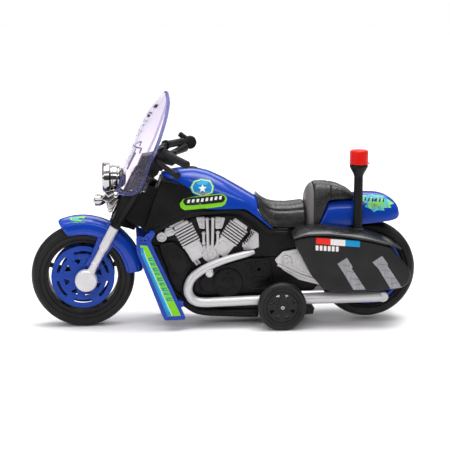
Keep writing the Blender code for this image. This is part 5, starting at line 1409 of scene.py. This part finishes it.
# raised mounting frame moulded on the back of the screen, and the plain marks printed on its front
rails = [((99.8, -15.6), (99.8, 15.6)), ((97.2, -12.0), (88.0, -9.8)), ((97.2, 12.0), (88.0, 9.8)), ((99.8, -15.6), (97.2, -15.9)),
         ((99.8, 15.6), (97.2, 15.9))]
for i, ((z0, y0), (z1, y1)) in enumerate(rails):
    pts = []
    for q in ramp(0, 1, 13):
        z, y = z0 + (z1 - z0) * q, y0 + (y1 - y0) * q
        pts.append(shield_point(z, y / smooth(WH, z), 1.3))
    piece(tube(pts, 0.40, 12), "windscreen_rail_%d" % (i + 1), "front_fork", GLASS_RAIL)
for i, (z0, z1, u0, u1) in enumerate(((120.0, 121.6, -0.66, -0.40), (117.0, 117.6, -0.60, -0.34), (115.2, 116.4, -0.56, -0.38),
                                      (113.0, 113.4, -0.58, -0.30), (110.8, 111.4, -0.52, -0.36), (107.6, 108.0, -0.54, -0.30),
                                      (105.8, 106.4, -0.46, -0.32))):
    rows_ = []
    for z in ramp(z0, z1, 4):
        rows_.append([shield_point(z, u, -0.14) for u in ramp(u0, u1, 6)] + [shield_point(z, u, -0.05) for u in ramp(u1, u0, 6)])
    piece(loft(rows_), "windscreen_mark_%d" % (i + 1), "front_fork", PRINT_GREY if i > 2 else PRINT_BLACK)

# ================================================================ handlebar

parts = [plate(fillet([(30.1, 87.7), (35.9, 84.6), (38.9, 86.6), (43.6, 85.6), (46.0, 90.6), (43.6, 95.2), (40.0, 95.4),
                       (37.0, 94.6), (33.0, 94.2)], 1.0, 4), -6.4, 6.4, 0.7)]
parts.append(plate(fillet([(44.6, 94.6), (49.4, 95.6), (52.2, 92.8), (51.4, 89.8), (49.0, 88.2), (44.8, 89.4)], 1.2, 4), -5.0, 5.0, 0.7))
parts.append(plate(fillet([(33.6, 86.6), (42.8, 87.4), (41.4, 83.8), (38.0, 81.2), (33.0, 82.6)], 0.8, 3), -5.2, 5.2, 0.5))
parts.append(turned([(0, 0.9), (3.0, 0.9), (3.2, 0.4), (3.9, 0.4), (4.0, -1.0), (0, -1.0)], 36, (48.2, 0, 94.8), (-0.30, 0, 0.95), 0.2))
LEFT_BAR = [(42.0, -4.0, 94.2), (42.8, -9, 95.6), (45.2, -16, 96.2), (50.2, -26.2, 95.0), (55.4, -37.4, 93.5)]
RIGHT_BAR = [(42.0, 4.0, 94.0), (43.0, 9, 95.6), (46.2, 16, 97.2), (50.6, 24.0, 97.4), (56.4, 32.8, 96.9)]
LEFT_LEVER = [(41.4, -7.0, 91.4), (43.3, -14.0, 90.2), (46.2, -21.0, 89.0), (49.2, -27.6, 87.6), (51.0, -31.8, 86.8)]
RIGHT_LEVER = [(42.6, 6.0, 90.6), (46.4, 13.0, 91.4), (50.6, 20.0, 92.2), (54.4, 26.0, 93.0), (57.6, 31.4, 93.8)]
for sy, bar, lever in ((-1, LEFT_BAR, LEFT_LEVER), (1, RIGHT_BAR, RIGHT_LEVER)):
    parts.append(tube(spline(bar[:4], 6), 1.75, 24))
    g0, g1 = Vector(bar[2]), Vector(bar[4])
    gl = (g1 - g0).length
    prof = [(0, -0.6), (2.5, -0.6), (2.75, -0.2), (2.75, 0.9), (2.3, 1.3), (2.0, 1.6)]
    k = 2.4
    while k < gl - 1.6:
        prof += [(2.0, k), (2.14, k + 0.35), (2.14, k + 0.75), (2.0, k + 1.1)]
        k += 1.35
    prof += [(2.0, gl - 1.0), (2.15, gl - 0.7), (2.15, gl - 0.2), (1.6, gl + 0.35), (0, gl + 0.5)]
    parts.append(lathe(prof, 40, g0, g1 - g0))
    lev = spline(lever, 6)
    rr = [smooth([(0, 1.7), (6, 1.45), (14, 1.4), (19, 1.7), (24, 1.95)], q * 24.0 / (len(lev) - 1)) * (1.0 if sy < 0 else 1.35)
          for q in range(len(lev))]
    parts.append(tube(lev, rr, 20))
    # fluid pot with its screwed lid
    at = (44.2, -13.2, 94.6) if sy < 0 else (44.0, 11.8, 91.2)
    parts.append(turned([(0, 0), (2.2, 0), (2.3, 0.5), (2.3, 4.0), (2.6, 4.2), (2.6, 5.0), (2.2, 5.3), (0, 5.3)], 32, at,
                        (-0.36, 0, 0.93), 0.2))
    parts.append(turned([(0, 5.2), (0.6, 5.2), (0.6, 5.55), (0, 5.55)], 6, at, (-0.36, 0, 0.93), 0.05))
    for q in (0.25, 0.75):
        parts.append(turned([(0, 0), (0.6, 0), (0.6, 0.6), (0, 0.6)], 12, (32.2 + 1.6 * q, 4.4 * sy, 91.0 + 3.2 * q - 1.0), (-0.9, 0, 0.42), 0.12))
bars = joined(*parts)
piece(bars, "handlebar_moulding", "front_fork", BLACK_MATT, ("handlebar",), 36)
mirror = turned([(0, 0.15), (2.4, 0.15), (2.7, -0.15), (3.6, 0.0), (3.9, 0.5), (3.8, 1.5), (3.0, 2.2), (0, 2.4)], 56, (60.5, 36.9, 95.9),
                (0.3, -0.93, 0.2), 0.2)
stalk = tube(spline([(60.2, 36.0, 95.8), (58.0, 34.6, 96.4), (55.6, 32.6, 96.8)], 5), 1.5, 20)
knob = turned([(0, 0), (1.5, 0), (1.6, 0.5), (1.6, 4.2), (1.3, 4.8), (0, 4.9)], 28, (58.4, 36.4, 98.2), (-0.80, 0.0, 0.6), 0.2)
piece(joined(mirror, stalk, knob), "mirror_moulding", "front_fork", BLACK_MATT, ("mirror_right",), 36)

# ================================================================ printed films

def decal(name, loops, target, lift, mat, body="chassis", side=-1, step=1.0, relax=0, thick=0.05,
          tree=False):
    """A thin film cut to an outline in x and z and laid on a piece from its side."""
    cu = bpy.data.curves.new("c", "CURVE")
    cu.dimensions = "2D"
    cu.fill_mode = "BOTH"
    for loop in loops:
        sp = cu.splines.new("POLY")
        sp.points.add(len(loop) - 1)
        for p, (x, z) in zip(sp.points, loop):
            p.co = (x, z, 0, 1)
        sp.use_cyclic_u = True
    ob = bpy.data.objects.new("c", cu)
    SCENE.collection.objects.link(ob)
    me = evaluated(ob)
    bpy.data.objects.remove(ob, do_unlink=True)
    bm = bmesh.new()
    bm.from_mesh(me)
    for v in bm.verts:
        v.co = (v.co.x, 0, v.co.y)
    bmesh.ops.remove_doubles(bm, verts=bm.verts, dist=1e-4)
    xs_ = [v.co.x for v in bm.verts]
    zs_ = [v.co.z for v in bm.verts]
    for lo_, hi_, no in ((min(xs_), max(xs_), (1, 0, 0)), (min(zs_), max(zs_), (0, 0, 1))):
        k = lo_ + step * 0.5
        while k < hi_:
            at_ = (k, 0, 0) if no[0] else (0, 0, k)
            geom = bm.verts[:] + bm.edges[:] + bm.faces[:]
            bmesh.ops.bisect_plane(bm, geom=geom, plane_co=at_, plane_no=no, dist=1e-5)
            k += step
    targets = target if isinstance(target, (list, tuple)) else [target]
    bm.verts.ensure_lookup_table()
    for v in bm.verts:
        best = None
        for t in targets:
            hit, nrm, _, _ = TREES[t].ray_cast(Vector((v.co.x, 60.0 * side, v.co.z)), Vector((0, -side, 0)))
            if hit is not None and (best is None or hit.y * side > best[0].y * side):
                best = (hit, nrm)
        if best is None:
            near = [TREES[t].find_nearest(Vector((v.co.x, 14.0 * side, v.co.z))) for t in targets]
            near = [q for q in near if q[0] is not None]
            best = (near[0][0], near[0][1])
        v.co = best[0]
        n_ = best[1] if best[1].y * side > 0 else -best[1]
        v.co += n_ * lift * 0.35 + Vector((0, side, 0)) * lift * 0.65
    if relax:
        floor_y = {v: v.co.y * side for v in bm.verts}
        for _ in range(relax):
            new_y = {}
            for v in bm.verts:
                ys = [e.other_vert(v).co.y * side for e in v.link_edges]
                new_y[v] = max(floor_y[v], 0.5 * v.co.y * side + 0.5 * sum(ys) / max(len(ys), 1))
            for v, y in new_y.items():
                v.co.y = y * side
    # a thin closed slab
    geom = bmesh.ops.extrude_face_region(bm, geom=bm.faces[:])
    for v in [g_ for g_ in geom["geom"] if isinstance(g_, bmesh.types.BMVert)]:
        v.co.y += side * thick
    bmesh.ops.recalc_face_normals(bm, faces=bm.faces)
    me = bpy.data.meshes.new("m")
    bm.to_mesh(me)
    bm.free()
    return piece(link(me), name, body, mat, (), 50, tree)


def grow(loop, k):
    cx = sum(p[0] for p in loop) / len(loop)
    cz = sum(p[1] for p in loop) / len(loop)
    return [(cx + (x - cx) * k, cz + (z - cz) * k) for x, z in loop]


BADGE = [(58.3, 78.2), (60.2, 81.4), (64.4, 82.4), (69.4, 81.3), (71.2, 78.2), (70.3, 74.8), (65.0, 72.6), (59.4, 75.2)]
BADGE_F = fillet(BADGE, 0.8, 4)
PILL = [(52.6, 69.0), (54.6, 71.6), (59.7, 72.9), (67.3, 73.7), (74.5, 74.5), (77.0, 73.6), (78.0, 71.6), (77.0, 68.8),
        (75.0, 67.6), (67.3, 66.6), (59.7, 65.8), (55.3, 65.5), (53.2, 66.8)]
PILL_F = fillet(PILL, 1.6, 4)
PILL_IN = fillet([(54.3, 70.4), (55.6, 71.9), (60.0, 72.6), (67.3, 73.3), (74.4, 74.1), (76.5, 73.1), (77.0, 71.4), (75.6, 69.9),
                  (67.3, 69.0), (60.0, 68.1), (55.6, 68.1)], 1.0, 4)
for side, nm in ((-1, "left"), (1, "right")):
    hull = ["tank_shell", "frame_half_" + nm]
    rim_, line_, field_ = "badge_rim_" + nm, "badge_line_" + nm, "badge_field_" + nm
    decal(rim_, [BADGE_F], hull, 0.10, LIME, side=side, relax=12, tree=True)
    decal(line_, [grow(BADGE_F, 0.90)], rim_, 0.05, WHITE, side=side, tree=True)
    decal(field_, [grow(BADGE_F, 0.84)], line_, 0.05, CYAN, side=side, tree=True)
    decal("badge_glint_" + nm, [fillet([(61.6, 80.6), (64.6, 81.3), (68.4, 80.6), (67.2, 79.2), (62.6, 79.4)], 0.5, 3)], field_, 0.05,
          SKY, side=side)
    decal("badge_star_" + nm, [[(64.9 + r * math.cos(a), 77.3 + r * math.sin(a)) for r, a in
                                [((2.3 if k % 2 == 0 else 1.0), math.radians(90 + 36 * k)) for k in range(10)]]], field_, 0.05,
          WHITE, side=side)
    decal("badge_chevron_" + nm, [[(61.4, 75.2), (65.0, 73.5), (68.6, 75.0), (68.0, 76.0), (65.0, 74.7), (62.0, 76.2)]], field_, 0.05,
          PRINT_GREY, side=side)
    pill_, dark_ = "name_pill_" + nm, "name_field_" + nm
    decal(pill_, [PILL_F], hull, 0.26, LIME, side=side, relax=24, tree=True, step=0.7)
    decal(dark_, [PILL_IN], pill_, 0.05, PRINT_BLACK, side=side, tree=True)
    for i in range(8):
        x = 56.6 + 2.42 * i
        z = 70.25 + 0.125 * (x - 56.6)
        bar_ = [(x, z - 0.95), (x + 1.35, z - 0.8), (x + 1.75, z + 1.05), (x + 0.4, z + 0.9)]
        decal("name_bar_%s_%d" % (nm, i + 1), [fillet(bar_, 0.25, 3)], dark_, 0.05, WHITE, side=side, step=0.8)
    # front fender flash
    decal("fender_flash_" + nm, [fillet([(-6.7, 59.8), (-5.6, 62.0), (1.6, 62.9), (2.1, 61.0), (-0.6, 59.2)], 0.5, 3)],
          "wheel_fender_front", 0.06, LIME, body="front_fork", side=side)
    decal("fender_flash_core_" + nm, [fillet([(-5.6, 60.2), (-4.6, 61.2), (-0.6, 61.8), (-1.6, 60.0)], 0.3, 3)],
          "wheel_fender_front", 0.11, SKY, body="front_fork", side=side)
    # leg guard stripes
    gd = "guard_" + nm
    gtop, gbot = [(31.2, 48.0), (35.0, 47.6)], [(45.3, 8.6), (52.7, 8.8)]

    def across(u, v):
        """A spot on the printed face: u across (0 front, 1 rear), v down it."""
        le = (value([(0, 31.2), (0.10, 31.3), (1, 45.3)], v), 48.0 + (8.6 - 48.0) * v)
        re = (35.0 + (52.7 - 35.0) * v, 47.6 + (8.8 - 47.6) * v)
        return (le[0] + (re[0] - le[0]) * u, le[1] + (re[1] - le[1]) * u)

    def strip(u0, u1, v0, v1, n=9):
        return [across(u0, v) for v in ramp(v0, v1, n)] + [across(u1, v) for v in ramp(v1, v0, n)]
    decal("guard_film_" + nm, [strip(0, 1, 0, 1)], gd, 0.05, LIME, side=side, step=2.0)
    decal("guard_film_blue_" + nm, [strip(0.0, 0.34, 0.03, 0.995)], gd, 0.09, CYAN, side=side, step=2.0)
    decal("guard_film_sky_" + nm, [strip(0.20, 0.34, 0.10, 0.93)], gd, 0.12, SKY, side=side, step=2.0)
    decal("guard_film_line_" + nm, [strip(0.335, 0.385, 0.06, 0.995)], gd, 0.12, WHITE, side=side, step=2.0)
    for i in range(9):
        v = 0.17 + 0.071 * i
        hgt = (0.045, 0.036, 0.048, 0.030, 0.044, 0.038, 0.046, 0.032, 0.044)[i]
        shape = [across(0.47, v), across(0.93, v - 0.006), across(0.93, v - 0.006 + hgt * 0.42), across(0.62, v + hgt * 0.42),
                 across(0.62, v + hgt * 0.62), across(0.93, v + hgt * 0.60), across(0.93, v + hgt), across(0.47, v + hgt)]
        decal("guard_dash_%s_%d" % (nm, i + 1), [shape], gd, 0.10, TEAL, side=side, step=2.0)
    # tail flash
    decal("tail_flash_" + nm, [fillet([(152.4, 71.4), (158.0, 71.6), (164.4, 70.8), (168.4, 68.0), (170.6, 66.8), (167.2, 66.2),
                                       (168.6, 64.8), (163.6, 64.8), (164.8, 63.4), (160.2, 63.6), (158.6, 62.6), (156.8, 64.4),
                                       (153.4, 65.6), (155.0, 67.4), (152.4, 68.6)], 0.3, 2)], "tail_fender", 0.06, BRUSH, side=side)
    decal("tail_flash_core_" + nm, [[(155.4, 67.6), (159.6, 68.2), (165.0, 67.2), (161.6, 66.4), (162.4, 65.4), (159.6, 65.6),
                                     (158.8, 64.4), (157.8, 66.0)]], "tail_fender", 0.11, LIME, side=side)
    decal("tail_flash_ink_" + nm, [[(157.8, 67.4), (159.4, 67.0), (161.2, 65.9), (159.2, 65.9), (158.6, 65.2), (158.2, 66.3)]],
          "tail_fender", 0.15, PRINT_GREY, side=side)
    for i in range(6):
        x, z = 153.3 + 2.0 * i, 69.9 - 0.16 * i
        decal("tail_stroke_%s_%d" % (nm, i + 1), [fillet([(x, z - 1.1), (x + 0.75, z - 1.2), (x + 1.45, z + 0.5), (x + 0.7, z + 0.6)],
                                                         0.15, 2)], "tail_fender", 0.15, PRINT_BLACK, side=side)
    decal("tail_flash_top_" + nm, [[(152.4, 70.9), (158.0, 71.2), (165.0, 70.2), (163.6, 69.9), (157.8, 70.7), (152.4, 70.4)]],
          "tail_fender", 0.12, SKY, side=side)
    # tricolour band and reflective straps on the panniers
    pn = "pannier_" + nm
    for i, m_ in enumerate((BAND_RED, BAND_WHITE, BAND_BLUE)):
        x0, x1 = 124.8 + 7.93 * i, 124.8 + 7.93 * (i + 1)
        z0 = 52.5 - 0.092 * (x0 - 124.8)
        z1 = 52.5 - 0.092 * (x1 - 124.8)
        decal("band_%s_%d" % (nm, i + 1), [[(x0, z0 - 0.9), (x1, z1 - 0.9), (x1, z1 - 4.2), (x0, z0 - 4.2)]], pn, 0.05, m_, side=side,
              step=2.0)
    # a plain row of blocks under the band
    for i in range(6):
        x = 124.7 + 2.18 * i
        z = 46.3 - 0.075 * (x - 124.7)
        decal("band_block_%s_%d" % (nm, i + 1), [fillet([(x, z - 1.55), (x + 1.5, z - 1.6), (x + 1.5, z + 1.15), (x, z + 1.25)], 0.3, 3)],
              pn, 0.05, BAND_WHITE, side=side, step=2.0)
    for j, (dx, dz) in enumerate(((0.0, 0.0), (19.6, 0.2))):
        for i, (u0, w0, u1, w1) in enumerate(((139.2, 36.6, 143.4, 36.3), (141.2, 33.4, 145.6, 32.6), (143.6, 29.2, 148.6, 28.3),
                                              (146.0, 25.4, 150.0, 26.2))):
            decal("strap_line_%s_%d_%d" % (nm, j + 1, i + 1),
                  [[(u0 + dx, w0 + dz), (u1 + dx, w1 + dz), (u1 + dx, w1 + dz - 0.32), (u0 + dx, w0 + dz - 0.32)]],
                  pn, 0.12, FOIL_LINE, side=side, step=2.0)
    decal("strap_a_" + nm, [[(136.6, 37.2), (141.7, 40.4), (144.9, 35.3), (144.5, 34.4), (152.3, 22.7), (145.7, 22.6), (139.7, 32.6)]],
          pn, 0.05, FOIL, side=side, step=2.0)
    decal("strap_b_" + nm, [[(155.6, 37.7), (160.8, 41.1), (164.0, 36.8), (163.9, 35.6), (172.2, 23.4), (166.0, 22.7), (159.2, 33.8)]],
          pn, 0.05, FOIL, side=side, step=2.0)

# ================================================================ CAD nodes that stay as they are

KEPT = {"body_screw_1": STEEL, "body_screw_2": STEEL, "beacon_bulb": BULB, "rear_axle": STEEL, "front_axle": STEEL,
        "drive_axle": STEEL, "drive_gear": GEAR, "idler_gear": STEEL_DARK, "flywheel_pinion": STEEL_DARK, "flywheel": STEEL_DARK,
        "motor_case_left": BLACK, "motor_case_right": BLACK}
for nm, mat in KEPT.items():
    ob = frame["nodes"][nm]
    ob.data.materials.clear()
    ob.data.materials.append(mat)
    mod = ob.modifiers.new("edge", "BEVEL")
    mod.width = 0.00012
    mod.segments = 2
    mod.limit_method = "ANGLE"
    mod.angle_limit = math.radians(40)

# ================================================================ floor, light, camera

bm = bmesh.new()
bm.faces.new([bm.verts.new(p) for p in ((-4.0, -0.34, 0), (4.0, -0.34, 0), (4.0, 6.0, 0), (-4.0, 6.0, 0))])
me = bpy.data.meshes.new("floor")
bm.to_mesh(me)
bm.free()
floor = bpy.data.objects.new("floor", me)
SCENE.collection.objects.link(floor)
floor.location = (0, 0, 0)
m, nt, b = nodes_of("paper_floor")
b.inputs["Roughness"].default_value = 0.85
b.inputs["Specular IOR Level"].default_value = 0.15
tc = nt.nodes.new("ShaderNodeTexCoord")
no = nt.nodes.new("ShaderNodeTexNoise")
no.inputs["Scale"].default_value = 40.0
nt.links.new(tc.outputs["Object"], no.inputs["Vector"])
mix = nt.nodes.new("ShaderNodeMix")
mix.data_type = "RGBA"
mix.inputs[6].default_value = (0.865, 0.850, 0.862, 1)
mix.inputs[7].default_value = (0.880, 0.865, 0.878, 1)
nt.links.new(no.outputs["Fac"], mix.inputs[0])
nt.links.new(mix.outputs[2], b.inputs["Base Color"])
# the floor glows more the farther it is from the toy: painted light that whitens the far floor
away = nt.nodes.new("ShaderNodeVectorMath")
away.operation = "LENGTH"
nt.links.new(tc.outputs["Object"], away.inputs[0])
glow = nt.nodes.new("ShaderNodeMapRange")
glow.inputs["From Min"].default_value = 0.22
glow.inputs["From Max"].default_value = 0.95
glow.inputs["To Min"].default_value = 0.0
glow.inputs["To Max"].default_value = 0.19
nt.links.new(away.outputs["Value"], glow.inputs["Value"])
b.inputs["Emission Color"].default_value = (1, 1, 1, 1)
nt.links.new(glow.outputs["Result"], b.inputs["Emission Strength"])
floor.data.materials.append(m)

world = bpy.data.worlds.new("studio")
SCENE.world = world
world.use_nodes = True
wt = world.node_tree
bg = wt.nodes["Background"]
tc = wt.nodes.new("ShaderNodeTexCoord")
sx = wt.nodes.new("ShaderNodeSeparateXYZ")
wt.links.new(tc.outputs["Generated"], sx.inputs[0])
ramp_n = wt.nodes.new("ShaderNodeValToRGB")
el = ramp_n.color_ramp.elements
el[0].position, el[0].color = 0.0, (0.05, 0.05, 0.05, 1)
el[1].position, el[1].color = 1.0, (0.62, 0.62, 0.63, 1)
for pos, val in ((0.49, 0.05), (0.54, 0.10), (0.66, 0.16), (0.74, 0.42)):
    e = el.new(pos)
    e.color = (val, val, val * 1.01, 1)
half = wt.nodes.new("ShaderNodeMath")
half.operation = "MULTIPLY_ADD"
half.inputs[1].default_value = 0.5
half.inputs[2].default_value = 0.5
wt.links.new(sx.outputs["Z"], half.inputs[0])
wt.links.new(half.outputs[0], ramp_n.inputs["Fac"])
lp = wt.nodes.new("ShaderNodeLightPath")
wm = wt.nodes.new("ShaderNodeMix")
wm.data_type = "RGBA"
seen = wt.nodes.new("ShaderNodeMath")
seen.operation = "MAXIMUM"
wt.links.new(lp.outputs["Is Camera Ray"], seen.inputs[0])
wt.links.new(lp.outputs["Is Transmission Ray"], seen.inputs[1])
wt.links.new(seen.outputs[0], wm.inputs[0])
wt.links.new(ramp_n.outputs["Color"], wm.inputs[6])
wm.inputs[7].default_value = (1.0, 1.0, 1.0, 1)
wt.links.new(wm.outputs[2], bg.inputs["Color"])
bg.inputs["Strength"].default_value = 1.0


def area(name, loc, target, size, power, colour=(1, 1, 1), size_y=None):
    li = bpy.data.lights.new(name, "AREA")
    li.shape = "RECTANGLE"
    li.size = size
    li.size_y = size_y or size
    li.energy = power
    li.color = colour
    ob = bpy.data.objects.new(name, li)
    SCENE.collection.objects.link(ob)
    ob.location = loc
    ob.rotation_mode = "QUATERNION"
    ob.rotation_quaternion = (Vector(target) - Vector(loc)).to_track_quat("-Z", "Y")
    ob.visible_camera = False
    return ob


area("top_box", (0.02, -0.12, 0.80), (0.0, 0.0, 0.04), 0.9, 5.2, size_y=0.55)
area("front_box", (-0.70, -0.45, 0.42), (0.0, 0.0, 0.06), 0.35, 1.5, size_y=0.5)
area("near_strip", (0.10, -0.95, 0.62), (0.0, 0.0, 0.05), 0.9, 2.3, size_y=0.16)
area("back_box", (0.1, 0.8, 0.55), (0.0, 0.0, 0.05), 0.9, 2.0, size_y=0.4)
sun = bpy.data.lights.new("key", "SUN")
sun.energy = 1.7
sun.angle = math.radians(38)
key = bpy.data.objects.new("key", sun)
SCENE.collection.objects.link(key)
key.rotation_mode = "QUATERNION"
key.rotation_quaternion = Vector((-0.20, -0.12, -1.0)).to_track_quat("-Z", "Y")

cam = bpy.data.cameras.new("camera")
cam.lens = 96.0
cam.sensor_width = 36.0
cam.clip_start = 0.01
cam.clip_end = 50.0
camera = bpy.data.objects.new("camera", cam)
SCENE.collection.objects.link(camera)
camera.location = (-0.050626, -0.645877, 0.180526)
camera.rotation_mode = "QUATERNION"
camera.rotation_quaternion = (Vector((0.000206, 0.0, 0.054592)) - camera.location).to_track_quat("-Z", "Y")
SCENE.camera = camera
SCENE.view_settings.view_transform = "Standard"
